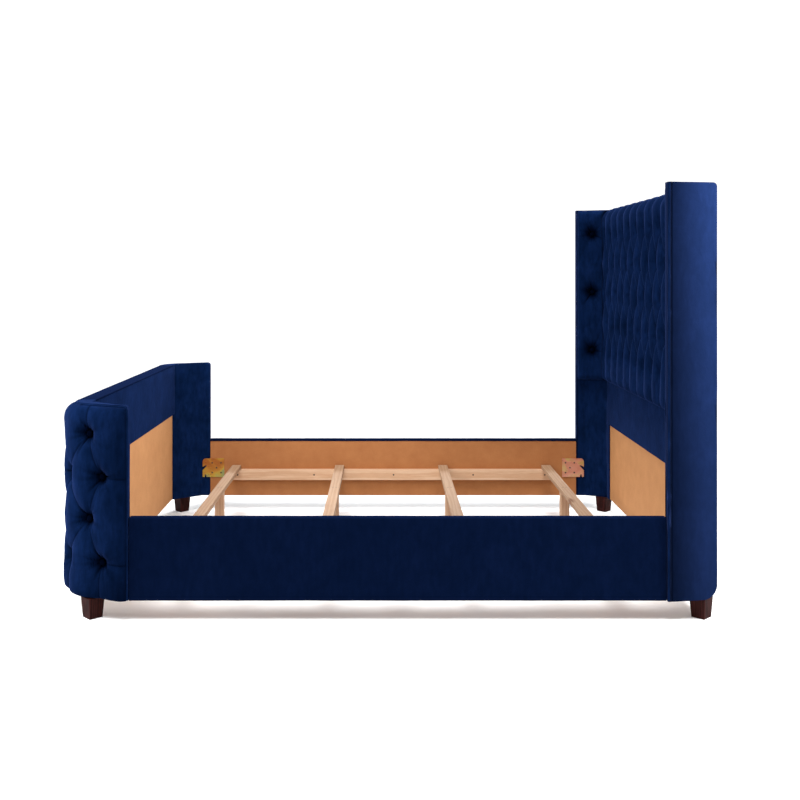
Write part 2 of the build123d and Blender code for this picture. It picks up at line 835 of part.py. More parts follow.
with BuildPart() as footboard_wing_frame_right:
    with BuildSketch(Plane.XY.offset(foot_height)):
        with BuildLine():
            footboard_outer_edge(frame_tip_station, -footboard_padding)
            Polyline(
                (front_half, footboard_frame_back_y),
                (front_half, footboard_board_back_y),
                (slant_x(footboard_board_back_y, cloth), footboard_board_back_y),
                (frame_flat_x, frame_slant_top_y),
                (frame_flat_x, frame_tip_y),
                path_point(frame_tip_station, -footboard_padding),
            )
        make_face()
    extrude(amount=band_bottom - foot_height)
    with BuildSketch(Plane.XY.offset(foot_height)):
        with Locations((foot_x, foot_front_y)):
            Circle(foot_boss_radius)
    extrude(amount=foot_boss_height)
    with BuildSketch(Plane.XY.offset(foot_height)):
        with Locations((foot_x, foot_front_y)):
            Circle(foot_bolt_radius)
    extrude(amount=foot_bolt_in_frame, mode=Mode.SUBTRACT)
    with BuildSketch(Plane.YZ):
        with Locations(*[(foot_rail_end_y - y, z) for y, z in hook_pin_places]):
            Circle(hook_pin_radius)
    extrude(amount=rail_inner_x - plate_thickness + hook_pin_length, mode=Mode.SUBTRACT)
keep(footboard_wing_frame_right, "footboard_wing_frame_right")
keep(mirrored(footboard_wing_frame_right), "footboard_wing_frame_left")

with BuildPart() as footboard_wing_cover_right:
    with BuildSketch(Plane.XY.offset(foot_height)):
        Polygon(
            (tip_flat_x, tip_y),
            (tip_x, tip_y),
            (tip_x - thin_padding * tan(flare), frame_tip_y),
            (frame_flat_x, frame_tip_y),
            (frame_flat_x, frame_slant_top_y),
            (slant_x(footboard_board_front_y, cloth), footboard_board_front_y),
            (slant_x(footboard_board_front_y, 0), footboard_board_front_y),
            (tip_flat_x, tip_y - tip_flat_length),
            align=None,
        )
    extrude(amount=band_bottom - foot_height)
    with BuildSketch(Plane.XY.offset(band_bottom)):
        with BuildLine():
            footboard_outer_edge(0, 0)
            Polyline(
                (front_half, front_seam_y),
                (front_half, inner_face_y),
                (junction_x, inner_face_y),
                (tip_flat_x, tip_y - tip_flat_length),
                (tip_flat_x, tip_y),
                (tip_x, tip_y),
            )
        make_face()
    extrude(amount=band_height)
    with BuildSketch(Plane.YZ):
        with Locations(*[(foot_rail_end_y - y, z) for y, z in hook_pin_places]):
            Circle(hook_pin_radius)
    extrude(amount=bed_width, mode=Mode.SUBTRACT)
keep(footboard_wing_cover_right, "footboard_wing_cover_right")
keep(mirrored(footboard_wing_cover_right), "footboard_wing_cover_left")

footboard_board_half = slant_x(footboard_board_back_y, cloth) - board_side_gap
with BuildPart() as footboard_board:
    with BuildSketch(Plane.XZ.offset(-footboard_board_front_y)):
        with Locations((0, (band_bottom + board_bottom) / 2)):
            Rectangle(2 * footboard_board_half, band_bottom - board_bottom)
    extrude(amount=footboard_board_depth)
keep(footboard_board, "footboard_board")

with BuildPart() as footboard_inner_cover:
    with BuildSketch(Plane.XZ.offset(-inner_face_y)):
        with Locations((0, (band_bottom + footboard_bare_top) / 2)):
            Rectangle(
                2 * (slant_x(footboard_board_front_y, 0) - board_side_gap),
                band_bottom - footboard_bare_top,
            )
    extrude(amount=footboard_cover_depth)
keep(footboard_inner_cover, "footboard_inner_cover")

with BuildPart() as footboard_top_band:
    with BuildSketch(Plane.XY.offset(band_bottom)):
        with Locations((0, (front_seam_y + inner_face_y) / 2)):
            Rectangle(2 * front_half, footboard_thickness)
    extrude(amount=band_height)
keep(footboard_top_band, "footboard_top_band")

footboard_frame_depth = footboard_board_back_y - footboard_frame_back_y
with BuildPart() as footboard_stiles:
    with BuildSketch(Plane.XZ.offset(-footboard_board_back_y)):
        for side in (-1, 1):
            with Locations((side * (front_half - footboard_stile_width / 2),
                            (band_bottom + foot_height) / 2)):
                Rectangle(footboard_stile_width, band_bottom - foot_height)
    extrude(amount=footboard_frame_depth)
keep(footboard_stiles, "footboard_stiles")

with BuildPart() as footboard_crossrails:
    with BuildSketch(Plane.XZ.offset(-footboard_board_back_y)):
        with Locations(
            (0, foot_height + crossrail_height / 2),
            (0, (band_bottom + foot_height) / 2),
            (0, band_bottom - crossrail_height / 2),
        ):
            Rectangle(2 * (front_half - footboard_stile_width), crossrail_height)
    extrude(amount=footboard_frame_depth)
keep(footboard_crossrails, "footboard_crossrails")

# Tufted pads of the footboard: one across the front and one around each corner to the wing's tip
footboard_row_pitch = (
    footboard_top - footboard_first_row_drop - foot_height - footboard_last_row_rise
) / (footboard_row_count - 1)
footboard_rows = [
    footboard_top - footboard_first_row_drop - k * footboard_row_pitch
    for k in range(footboard_row_count)
]
front_pitch = (path_length - 2 * corner_button_station) / footboard_pitch_count
front_stations = [
    corner_button_station + k * front_pitch / 2 for k in range(2 * footboard_pitch_count + 1)
]
row_1, row_2, row_3, row_4 = footboard_rows
tip_s, a_s, b_s, c_s, d_s = (
    pad_tip_station, tip_button_station, curve_button_station, front_stations[0], front_stations[1],
)
corner_cells = [
    [(tip_s, band_bottom), (b_s, band_bottom), (b_s, row_1), (a_s, row_2), (tip_s, row_2)],
    [(tip_s, row_2), (a_s, row_2), (b_s, row_3), (a_s, row_4), (tip_s, row_4)],
    [(tip_s, row_4), (a_s, row_4), (a_s, foot_height), (tip_s, foot_height)],
    [(b_s, band_bottom), (d_s, band_bottom), (d_s, row_1), (c_s, row_2), (b_s, row_1)],
    [(b_s, row_1), (c_s, row_2), (b_s, row_3), (a_s, row_2)],
    [(c_s, row_2), (d_s, row_3), (c_s, row_4), (b_s, row_3)],
    [(a_s, row_4), (b_s, row_3), (c_s, row_4), (c_s, foot_height), (a_s, foot_height)],
]
corner_button_places = [
    (b_s, row_1), (b_s, row_3), (a_s, row_2), (a_s, row_4),
    (c_s, row_2), (c_s, row_4), (d_s, row_1), (d_s, row_3),
]
front_cells = lattice_cells(front_stations, footboard_rows, band_bottom, foot_height, edge_cells=False)
far_end = front_stations[-1]
front_button_places = button_places(front_stations, footboard_rows)
front_edge_places = [(s, z) for s in (c_s, far_end) for z in (row_2, row_4)]

# What lies inside the pads: the frames, the boards and the space for the bed
with BuildSketch(Plane.XY.offset(foot_height - overrun)) as footboard_core:
    with BuildLine():
        footboard_outer_edge(-pad_back_reach, -footboard_padding)
        Line((front_half, footboard_frame_back_y), (-front_half, footboard_frame_back_y))
        ThreePointArc(
            (-front_half, footboard_frame_back_y),
            path_point(path_length - wing_straight - bend_length / 2, -footboard_padding),
            path_point(path_length - wing_straight, -footboard_padding),
        )
        Polyline(
            path_point(path_length - wing_straight, -footboard_padding),
            path_point(path_length + pad_back_reach, -footboard_padding),
            path_point(-pad_back_reach, -footboard_padding),
        )
    make_face()

def path_plane(station, z):
    """A plane on the outer path that faces outwards."""
    inner, outer = path_point(station, 0), path_point(station, overrun)
    return Plane(
        origin=(*inner, z),
        x_dir=(0, 0, 1),
        z_dir=(outer[0] - inner[0], outer[1] - inner[1], 0),
    )


with BuildPart() as footboard_front_pad:
    add(quilt(front_cells, front_button_places + front_edge_places, footboard_place,
              footboard_tuft_height, footboard_crown_reach, button_seat, pad_back_reach, curve_step))
    extrude(footboard_core.sketch, amount=footboard_top, mode=Mode.SUBTRACT)
    add(button_recesses([
        path_plane(s, z) for s, z in front_button_places + front_edge_places
    ]), mode=Mode.SUBTRACT)
keep(footboard_front_pad, "footboard_front_pad")

with BuildPart() as footboard_corner_pad_right:
    add(quilt(corner_cells, corner_button_places, footboard_place,
              corner_crown_height, footboard_crown_reach, button_seat, pad_back_reach, curve_step))
    extrude(footboard_core.sketch, amount=footboard_top, mode=Mode.SUBTRACT)
    with BuildSketch(Plane.XY.offset(foot_height - overrun)):
        with Locations((foot_x, foot_front_y)):
            Circle(foot_boss_radius)
    extrude(amount=foot_boss_height + overrun, mode=Mode.SUBTRACT)
    add(button_recesses([path_plane(s, z) for s, z in corner_button_places]), mode=Mode.SUBTRACT)
keep(footboard_corner_pad_right, "footboard_corner_pad_right")
keep(mirrored(footboard_corner_pad_right), "footboard_corner_pad_left")

wing_side_places = [(s, z) for s, z in corner_button_places if s < c_s]
footboard_buttons = buttons([
    path_plane(s, z)
    for s, z in wing_side_places + [(path_length - s, z) for s, z in wing_side_places]
    + front_button_places + front_edge_places
])
keep(footboard_buttons, "footboard_buttons")

# Piping along the footboard's outer top edge and down the tips of its wings
cord_z = band_bottom + cord_radius
with BuildPart() as footboard_piping:
    with BuildLine(Plane.XY.offset(cord_z)) as cord_path:
        footboard_outer_edge(0, cord_radius)
        Line(path_point(wing_straight + bend_length, cord_radius),
             path_point(path_length - wing_straight - bend_length, cord_radius))
        ThreePointArc(
            path_point(path_length - wing_straight - bend_length, cord_radius),
            path_point(path_length - wing_straight - bend_length / 2, cord_radius),
            path_point(path_length - wing_straight, cord_radius),
        )
        Line(path_point(path_length - wing_straight, cord_radius), path_point(path_length, cord_radius))
    with BuildSketch(Plane(
        origin=(*path_point(0, cord_radius), cord_z), z_dir=(-sin(flare), -cos(flare), 0),
    )):
        Circle(cord_radius)
    sweep()
    with BuildSketch(Plane.XY.offset(foot_height)):
        with Locations(
            path_point(cord_radius, cord_radius), path_point(path_length - cord_radius, cord_radius),
        ):
            Circle(cord_radius)
    extrude(amount=cord_z - foot_height)
keep(footboard_piping, "footboard_piping")

# Side rails
rail_length = head_rail_end_y - foot_rail_end_y
rail_middle_y = (head_rail_end_y + foot_rail_end_y) / 2
rail_board_x = rail_inner_x + rail_board_depth
rail_board_top = rail_top - thin_padding
slat_middle_y = (foot_rail_end_y + slat_foot_inset + head_rail_end_y - slat_head_inset) / 2
slat_pitch = (rail_length - slat_foot_inset - slat_head_inset) / (slat_count - 1)
ledger_first_y = slat_middle_y - slat_pitch * (slat_count - 1) / 2 - slat_width / 2
ledger_last_y = slat_middle_y + slat_pitch * (slat_count - 1) / 2 + slat_width / 2
ledger_top = slat_top - slat_depth - fit_gap
ledger_screw_z = ledger_top - ledger_height / 2
ledger_screw_places = [
    ledger_first_y + ledger_screw_end_inset,
    slat_middle_y + ledger_screw_offset_y - ledger_screw_pitch,
    slat_middle_y + ledger_screw_offset_y,
    slat_middle_y + ledger_screw_offset_y + ledger_screw_pitch,
    ledger_last_y - ledger_screw_end_inset,
]
ledger_screw_planes = [
    Plane(origin=(rail_inner_x - ledger_depth, y, ledger_screw_z), z_dir=(1, 0, 0))
    for y in ledger_screw_places
]
plate_middle_z = plate_top - plate_height / 2
plate_hole_offsets = [
    (plate_hole_margin, plate_hole_spacing_z / 2),
    (plate_hole_margin, -plate_hole_spacing_z / 2),
    (plate_hole_margin + plate_hole_spacing_y, plate_hole_spacing_z / 2),
    (plate_hole_margin + plate_hole_spacing_y, -plate_hole_spacing_z / 2),
    (plate_hole_margin + plate_hole_spacing_y / 2, 0),
]
plate_screw_planes = [
    Plane(origin=(rail_inner_x - plate_thickness, end_y + side * y, plate_middle_z + z), z_dir=(1, 0, 0))
    for end_y, side in ((head_rail_end_y, -1), (foot_rail_end_y, 1))
    for y, z in plate_hole_offsets
]

with BuildPart() as rail_board_right:
    with BuildSketch(Plane.YZ.offset(rail_inner_x)):
        with Locations((rail_middle_y, (rail_board_top + foot_height) / 2)):
            Rectangle(rail_length, rail_board_top - foot_height)
    extrude(amount=rail_board_depth)
    with BuildSketch(Plane.YZ.offset(rail_inner_x)):
        with Locations(*[(plane.origin.Y, plane.origin.Z) for plane in
                         ledger_screw_planes + plate_screw_planes]):
            Circle(screw_radius)
    extrude(amount=ledger_screw_length - ledger_depth, mode=Mode.SUBTRACT)
keep(rail_board_right, "rail_board_right")
keep(mirrored(rail_board_right), "rail_board_left")

with BuildPart() as rail_cover_right:
    with BuildSketch(Plane.XZ.offset(-head_rail_end_y)):
        Polygon(
            (rail_board_x, foot_height),
            (rail_board_x + rail_cover_depth, foot_height),
            (rail_board_x + rail_cover_depth, rail_top),
            (rail_inner_x - rail_lip_depth, rail_top),
            (rail_inner_x - rail_lip_depth, rail_top - rail_lip_height),
            (rail_inner_x, rail_top - rail_lip_height),
            (rail_inner_x, rail_board_top),
            (rail_board_x, rail_board_top),
            align=None,
        )
    extrude(amount=rail_length)
    fillet(
        rail_cover_right.edges().filter_by(Axis.Y).group_by(Axis.Z)[-1].sort_by(Axis.X)[-1],
        thin_padding,
    )
keep(rail_cover_right, "rail_cover_right")
keep(mirrored(rail_cover_right), "rail_cover_left")

with BuildPart() as rail_ledger_right:
    with BuildSketch(Plane.YZ.offset(rail_inner_x)):
        with Locations(((ledger_first_y + ledger_last_y) / 2, ledger_screw_z)):
            Rectangle(ledger_last_y - ledger_first_y, ledger_height)
    extrude(amount=-ledger_depth)
    for plane in ledger_screw_planes:
        add(screw_body(plane, ledger_depth + overrun), mode=Mode.SUBTRACT)
keep(rail_ledger_right, "rail_ledger_right")
keep(mirrored(rail_ledger_right), "rail_ledger_left")

with BuildPart() as ledger_screws:
    for plane in ledger_screw_planes:
        add(screw(plane, ledger_screw_length))
    mirror(about=Plane.YZ)
keep(ledger_screws, "ledger_screws")

with BuildPart() as hook_plate_screws:
    for plane in plate_screw_planes:
        add(screw(plane, plate_screw_length))
    mirror(about=Plane.YZ)
keep(hook_plate_screws, "hook_plate_screws")


def hook_plates(end_y, side):
    """The pair of plates at one end of the rails; side is the way that their hooks point."""
    with BuildPart() as pair:
        with BuildSketch(Plane.YZ.offset(rail_inner_x - plate_thickness)) as outline:
            with Locations((end_y + side * (hook_reach - plate_on_rail) / 2, plate_middle_z)):
                Rectangle(hook_reach + plate_on_rail, plate_height)
            tip = outline.vertices().group_by(Axis.X)[-1 if side > 0 else 0].sort_by(Axis.Y)
            fillet(tip[-1], plate_top_corner)
            tip = outline.vertices().group_by(Axis.X)[-1 if side > 0 else 0].sort_by(Axis.Y)
            fillet(tip[0], plate_low_corner)
            with Locations((end_y + side * slot_inner_y, plate_top - slot_inner_drop)):
                Circle(slot_width / 2, mode=Mode.SUBTRACT)
            Polygon(
                (end_y + side * slot_inner_y, plate_top - slot_inner_drop + slot_width / 2),
                (end_y + side * hook_reach, plate_top - slot_outer_drop),
                (end_y + side * hook_reach, plate_top - slot_outer_drop - slot_mouth),
                (end_y + side * slot_inner_y, plate_top - slot_inner_drop - slot_width / 2),
                align=None,
                mode=Mode.SUBTRACT,
            )
            with Locations((end_y + side * lower_slot_y, plate_bottom)):
                Rectangle(slot_width, 2 * (lower_slot_height - slot_width / 2), mode=Mode.SUBTRACT)
            with Locations((end_y + side * lower_slot_y,
                            plate_bottom + lower_slot_height - slot_width / 2)):
                Circle(slot_width / 2, mode=Mode.SUBTRACT)
        extrude(amount=plate_thickness)
        with BuildSketch(Plane.YZ.offset(rail_inner_x - plate_thickness)):
            with Locations(*[(end_y + side * rivet_y, plate_top - drop) for drop in rivet_drops]):
                Circle(rivet_radius)
                Circle(rivet_dimple_radius, mode=Mode.SUBTRACT)
        extrude(amount=-rivet_height)
        for plane in plate_screw_planes:
            if abs(plane.origin.Y - end_y) < plate_on_rail:
                add(screw_body(plane, plate_thickness + overrun), mode=Mode.SUBTRACT)
        mirror(about=Plane.YZ)
    return pair


keep(hook_plates(head_rail_end_y, 1), "hook_plates_head_end")
keep(hook_plates(foot_rail_end_y, -1), "hook_plates_foot_end")

with BuildPart() as hook_pins:
    with BuildSketch(Plane.YZ.offset(rail_inner_x - plate_thickness)):
        with Locations(
            *[(head_rail_end_y + y, z) for y, z in hook_pin_places],
            *[(foot_rail_end_y - y, z) for y, z in hook_pin_places],
        ):
            Circle(hook_pin_radius)
    extrude(amount=hook_pin_length)
    mirror(about=Plane.YZ)
keep(hook_pins, "hook_pins")

# Slats, each with two legs that are screwed on from above
slat_half_length = rail_inner_x - slat_end_gap
slat_bottom = slat_top - slat_depth
for k in range(slat_count):
    slat_y = slat_middle_y + slat_pitch * (k - (slat_count - 1) / 2)
    leg_screw_planes = [
        Plane(origin=(x, slat_y + side * leg_screw_half_spacing, slat_top), z_dir=(0, 0, -1))
        for x in (-leg_x, leg_x) for side in (-1, 1)
    ]
    with BuildPart() as slat:
        with BuildSketch(Plane.XY.offset(slat_bottom)):
            with Locations((0, slat_y)):
                Rectangle(2 * slat_half_length, slat_width)
        extrude(amount=slat_depth)
        fillet(slat.edges().filter_by(Axis.X), leg_rounding)
        for plane in leg_screw_planes:
            add(screw_body(plane, slat_depth + overrun), mode=Mode.SUBTRACT)
    keep(slat, f"slat_{k + 1}")
    with BuildPart() as slat_legs:
        with BuildSketch() as leg_section:
            with Locations((-leg_x, slat_y), (leg_x, slat_y)):
                Rectangle(leg_side, leg_side)
            fillet(leg_section.vertices(), leg_rounding)
        extrude(amount=slat_bottom)
        with BuildSketch(Plane.XY.offset(slat_top - leg_screw_length)):
            with Locations(*[(plane.origin.X, plane.origin.Y) for plane in leg_screw_planes]):
                Circle(screw_radius)
        extrude(amount=leg_screw_length, mode=Mode.SUBTRACT)
    keep(slat_legs, f"slat_{k + 1}_legs")
    with BuildPart() as slat_screws:
        for plane in leg_screw_planes:
            add(screw(plane, leg_screw_length))
    keep(slat_screws, f"slat_{k + 1}_screws")

# Feet, tapered blocks turned so that a corner points outwards
foot_places = {
    "foot_front_right": (foot_x, foot_front_y),
    "foot_front_left": (-foot_x, foot_front_y),
    "foot_back_right": (foot_x, foot_back_y),
    "foot_back_left": (-foot_x, foot_back_y),
}
for name, place in foot_places.items():
    with BuildPart() as foot:
        for height, width in ((0, foot_bottom_side), (foot_height, foot_top_side)):
            with BuildSketch(Plane.XY.offset(height)) as section:
                with Locations(place):
                    Rectangle(width, width, rotation=45)
                fillet(section.vertices(), foot_bevel)
        loft()
        with BuildSketch(Plane.XY.offset(foot_height - foot_bolt_in_foot)):
            with Locations(place):
                Circle(foot_bolt_radius)
        extrude(amount=foot_bolt_in_foot, mode=Mode.SUBTRACT)
    keep(foot, name)

with BuildPart() as foot_bolts:
    with BuildSketch(Plane.XY.offset(foot_height - foot_bolt_in_foot)):
        with Locations(*foot_places.values()):
            Circle(foot_bolt_radius)
    extrude(amount=foot_bolt_in_foot + foot_bolt_in_frame)
keep(foot_bolts, "foot_bolts")
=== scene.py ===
import math

import bmesh
import bpy
import numpy as np
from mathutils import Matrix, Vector, noise


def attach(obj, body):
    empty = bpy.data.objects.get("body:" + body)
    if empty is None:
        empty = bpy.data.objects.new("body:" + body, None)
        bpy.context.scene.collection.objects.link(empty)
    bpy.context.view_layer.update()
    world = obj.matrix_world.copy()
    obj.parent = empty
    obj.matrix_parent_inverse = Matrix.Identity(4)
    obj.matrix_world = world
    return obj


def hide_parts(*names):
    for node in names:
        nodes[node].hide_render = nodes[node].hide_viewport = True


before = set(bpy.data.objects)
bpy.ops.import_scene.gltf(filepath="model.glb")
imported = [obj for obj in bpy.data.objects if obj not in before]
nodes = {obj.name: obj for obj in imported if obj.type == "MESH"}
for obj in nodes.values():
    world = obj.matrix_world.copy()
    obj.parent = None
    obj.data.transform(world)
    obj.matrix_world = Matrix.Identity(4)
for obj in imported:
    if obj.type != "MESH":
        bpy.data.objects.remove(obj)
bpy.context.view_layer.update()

MM = 0.001

# Sizes of the headboard in millimetres, the same as in the CAD solids
HALF_WIDTH = 825.0
FOOT = 70.0
HEAD_TOP = 1472.0
PLEAT_Y = 1078.0
BACK_Y = 1115.0
BOARD_FRONT_Y = 1088.0
THIN_PADDING = 6.0
TUFT_BOTTOM = 640.0
TUFT_HALF = 720.0
TUFT_PITCH = 120.0
TUFT_HALF_COUNT = 12
FIRST_ROW_DROP = 119.0
ROW_STEP = 141.5
ROW_COUNT = 5
HEAD_ROWS = [HEAD_TOP - FIRST_ROW_DROP - ROW_STEP * k for k in range(ROW_COUNT)]

WING_FRONT_Y = 943.0
WING_FLAT_X = 785.0
WING_FLAT_LENGTH = 43.0
WING_INNER_FLARE = 42.0
WING_BACK_Y = 1087.7
WING_BUTTON_STATION = 70.0
SEAM_SETBACK = 11.0
WING_SEAM_Y = WING_FRONT_Y + SEAM_SETBACK

# Sizes of the footboard in millimetres; FRONT_Y is the outer seam of its front
TIP = (812.0, -862.0)
FLARE = math.radians(21.5)
FRONT_Y = -1078.0
BEND_R = 120.0
FOOT_TOP = 717.0
FOOT_ROWS = [622.0, 478.0, 334.0, 190.0]
CORNER_S = 246.0
FRONT_COLUMNS = 11
TURN = math.pi / 2 - FLARE
SETBACK = BEND_R * math.tan(TURN / 2)
WING_RUN = (TIP[1] - FRONT_Y) / math.cos(FLARE) - SETBACK
BEND_RUN = BEND_R * TURN
FRONT_HALF = TIP[0] - (TIP[1] - FRONT_Y) * math.tan(FLARE) - SETBACK
PATH = 2 * (WING_RUN + BEND_RUN + FRONT_HALF)

BUTTON_RADIUS = 10.5
BUTTON_HEIGHT = 8.0
BUTTON_SINK = 1.0
CORD = 2.4
SLAT_COUNT = 4


class Shader:
    """A material with a Principled shader and short ways to add nodes to it."""

    def __init__(self, name):
        self.mat = bpy.data.materials.new(name)
        self.mat.use_nodes = True
        self.tree = self.mat.node_tree
        self.bsdf = self.tree.nodes["Principled BSDF"]
        self.coords = self.tree.nodes.new("ShaderNodeTexCoord").outputs["Object"]

    def feed(self, socket, value):
        """Links another node to a socket, or sets the socket's own value."""
        if isinstance(value, bpy.types.NodeSocket):
            self.tree.links.new(value, socket)
        elif socket.type == "RGBA":
            socket.default_value = (*value, 1)
        else:
            socket.default_value = value

    def node(self, kind, **inputs):
        made = self.tree.nodes.new(kind)
        for key, value in inputs.items():
            self.feed(made.inputs[key.replace("_", " ")], value)
        return made

    def scaled(self, scale):
        made = self.node("ShaderNodeMapping", Vector=self.coords, Scale=scale)
        return made.outputs["Vector"]

    def noise(self, scale, detail=3.0, rough=0.5, vector=None, distort=0.0):
        made = self.node("ShaderNodeTexNoise", Vector=vector or self.coords, Scale=scale,
                         Detail=detail, Roughness=rough, Distortion=distort)
        return made.outputs["Fac"]

    def maths(self, operation, first, second=0.0):
        made = self.tree.nodes.new("ShaderNodeMath")
        made.operation = operation
        self.feed(made.inputs[0], first)
        self.feed(made.inputs[1], second)
        return made.outputs[0]

    def spread(self, value, start, end, low=0.0, high=1.0, kind="LINEAR"):
        """Maps the range from start to end onto the one from low to high."""
        made = self.node("ShaderNodeMapRange", Value=value, From_Min=start, From_Max=end,
                         To_Min=low, To_Max=high)
        made.interpolation_type = kind
        return made.outputs[0]

    def ramp(self, fac, stops):
        made = self.node("ShaderNodeValToRGB", Fac=fac)
        ramp = made.color_ramp
        while len(ramp.elements) < len(stops):
            ramp.elements.new(0.5)
        for element, (place, colour) in zip(ramp.elements, stops):
            element.position = place
            element.color = (*colour, 1)
        return made.outputs["Color"]

    def mix(self, fac, a, b, blend="MIX"):
        made = self.tree.nodes.new("ShaderNodeMix")
        made.data_type = "RGBA"
        made.blend_type = blend
        for socket, value in ((made.inputs["Factor"], fac), (made.inputs[6], a), (made.inputs[7], b)):
            self.feed(socket, value)
        return made.outputs[2]

    def bump(self, height, strength, distance, **normal):
        made = self.node("ShaderNodeBump", Height=height, Strength=strength, Distance=distance, **normal)
        return made.outputs["Normal"]

    def set(self, **values):
        for key, value in values.items():
            self.feed(self.bsdf.inputs[key.replace("_", " ")], value)
        return self.mat


def shade(colour, share):
    """A colour at a share of its brightness."""
    return tuple(c * share for c in colour)


# The seam of a wing's outer cover and the painted light beside it, which brightens the cover towards its
# back and its top, in metres
SEAM_HALF_WIDTH = 0.0035
SEAM_DEPTH = 0.004
PAINTED_LIGHT_RUN = 0.13
PAINTED_LIGHT_LOW_Z = 0.1
PAINTED_LIGHT_HIGH_Z = 1.4


def velvet(name, dark, light, sheen=0.16, crush=0.35, seam_y=None, even=0.0):
    """Short-pile cloth: brushed patches, a fine pile and a bluish sheen at grazing angles.

    crush is the strength of the soft dents, seam_y is where an upright seam runs, in metres, beside
    which a painted light brightens the cloth towards the back and the top, and even evens out the
    patches. Painted shade darkens the colour and dulls the sheen where a mesh's attribute asks for it.
    """
    s = Shader(name)
    patches = s.noise(9.0, detail=4.0, rough=0.6, distort=0.6)
    streaks = s.noise(60.0, rough=0.6, vector=s.scaled((1, 1, 0.35)))
    pile = s.noise(1400.0, detail=2.0, rough=0.7)
    colour = s.ramp(s.maths("MULTIPLY", patches, streaks), [(0.12, dark), (0.42, light)])
    colour = s.mix(0.25, colour, s.ramp(pile, [(0.3, dark), (0.7, light)]))
    colour = s.mix(even, colour, tuple((c + d) / 2 for c, d in zip(dark, light)))
    soft = s.bump(s.noise(38.0, detail=4.0, rough=0.55, distort=0.8), strength=crush, distance=0.004)
    fine = s.bump(pile, strength=0.25, distance=0.0006, Normal=soft)
    if seam_y:
        place = s.node("ShaderNodeSeparateXYZ", Vector=s.coords)
        away = s.maths("ABSOLUTE", s.maths("SUBTRACT", place.outputs["Y"], seam_y))
        line = s.spread(away, 0.0, SEAM_HALF_WIDTH, kind="SMOOTHSTEP")
        # Painted light: the cover gets brighter towards its back edge and towards its top
        painted_light_back = s.spread(place.outputs["Y"], seam_y, seam_y + PAINTED_LIGHT_RUN, low=0.36, high=1.45)
        painted_light_up = s.spread(place.outputs["Z"], PAINTED_LIGHT_LOW_Z, PAINTED_LIGHT_HIGH_Z, low=0.8, high=1.5)
        colour = s.mix(1.0, colour, s.maths("MULTIPLY", painted_light_back, painted_light_up), "MULTIPLY")
        colour = s.mix(line, shade(dark, 0.15), colour)
        fine = s.bump(line, strength=1.0, distance=SEAM_DEPTH, Normal=fine)
    # Painted shade: darker colour and less sheen where the mesh's painted shade attribute is high
    shade_attribute = s.node("ShaderNodeAttribute")
    shade_attribute.attribute_name = "painted_shade"
    colour = s.mix(shade_attribute.outputs["Fac"], colour, shade(dark, 0.1))
    sheen_outside_shade = s.spread(shade_attribute.outputs["Fac"], 0.0, 1.0, low=sheen, high=0.1 * sheen)
    return s.set(Base_Color=colour, Roughness=0.85, Sheen_Weight=sheen_outside_shade, Sheen_Roughness=0.36,
                 Sheen_Tint=(0.18, 0.31, 1.0), Specular_IOR_Level=0.0, Normal=fine)


def board(name, low, high):
    """Bare fibreboard: a fine mottle with a few darker fibres."""
    s = Shader(name)
    mottle = s.noise(14.0, detail=5.0, rough=0.65)
    fibres = s.noise(420.0, detail=4.0, rough=0.75)
    flecks = s.noise(900.0, detail=2.0)
    colour = s.ramp(mottle, [(0.3, low), (0.7, high)])
    colour = s.mix(0.35, colour, s.ramp(fibres, [(0.3, shade(low, 0.72)), (0.7, high)]))
    colour = s.mix(0.5, colour, s.ramp(flecks, [(0.28, shade(low, 0.5)), (0.36, high)]), "MULTIPLY")
    return s.set(Base_Color=colour, Roughness=0.78, Specular_IOR_Level=0.25,
                 Normal=s.bump(fibres, strength=0.2, distance=0.0006))


def timber(name, low, high, along, rings=24.0, rough=0.62, knots=True, bump=0.3, gloss=0.3):
    """Sawn timber with its grain stretched along one axis."""
    s = Shader(name)
    scale = [1.0, 1.0, 1.0]
    scale["XYZ".index(along)] = 0.06
    wave = s.node("ShaderNodeTexWave", Vector=s.scaled(tuple(scale)), Scale=rings, Distortion=5.0,
                  Detail=3.0, Detail_Scale=2.2)
    wave.wave_type = "RINGS"
    wave.rings_direction = along
    lines = s.noise(520.0, rough=0.6, vector=s.scaled(tuple(scale)))
    colour = s.ramp(wave.outputs["Fac"], [(0.15, high), (0.9, low)])
    colour = s.mix(0.35, colour, s.ramp(lines, [(0.35, low), (0.65, high)]))
    if knots:
        spots = s.node("ShaderNodeTexVoronoi", Vector=s.scaled(tuple(c * 0.55 + 0.2 for c in scale)),
                       Scale=7.0)
        colour = s.mix(0.9, colour, s.ramp(spots.outputs["Distance"], [
            (0.03, (0.45, 0.25, 0.12)), (0.09, (1, 1, 1))]), "MULTIPLY")
    return s.set(Base_Color=colour, Roughness=rough, Specular_IOR_Level=gloss,
                 Normal=s.bump(lines, strength=bump, distance=0.0008))


def zinc(name, tones):
    """Zinc plating, with the pale rainbow of its passivation."""
    s = Shader(name)
    cloud = s.noise(11.0, detail=2.0, distort=0.8)
    colour = s.ramp(cloud, [(0.34 + 0.08 * k, tone) for k, tone in enumerate(tones)])
    scratches = s.noise(160.0, rough=0.7, vector=s.scaled((1, 0.12, 1)))
    rough = s.ramp(scratches, [(0.3, (0.24,) * 3), (0.7, (0.42,) * 3)])
    return s.set(Base_Color=colour, Metallic=0.92, Roughness=rough,
                 Normal=s.bump(scratches, strength=0.12, distance=0.0004))


def steel(name):
    """Darkened steel with faint clouds."""
    s = Shader(name)
    cloud = s.noise(300.0, detail=2.0)
    colour = s.ramp(cloud, [(0.3, (0.05, 0.035, 0.025)), (0.7, (0.15, 0.12, 0.09))])
    return s.set(Base_Color=colour, Metallic=0.7, Roughness=0.5,
                 Normal=s.bump(cloud, strength=0.1, distance=0.0003))


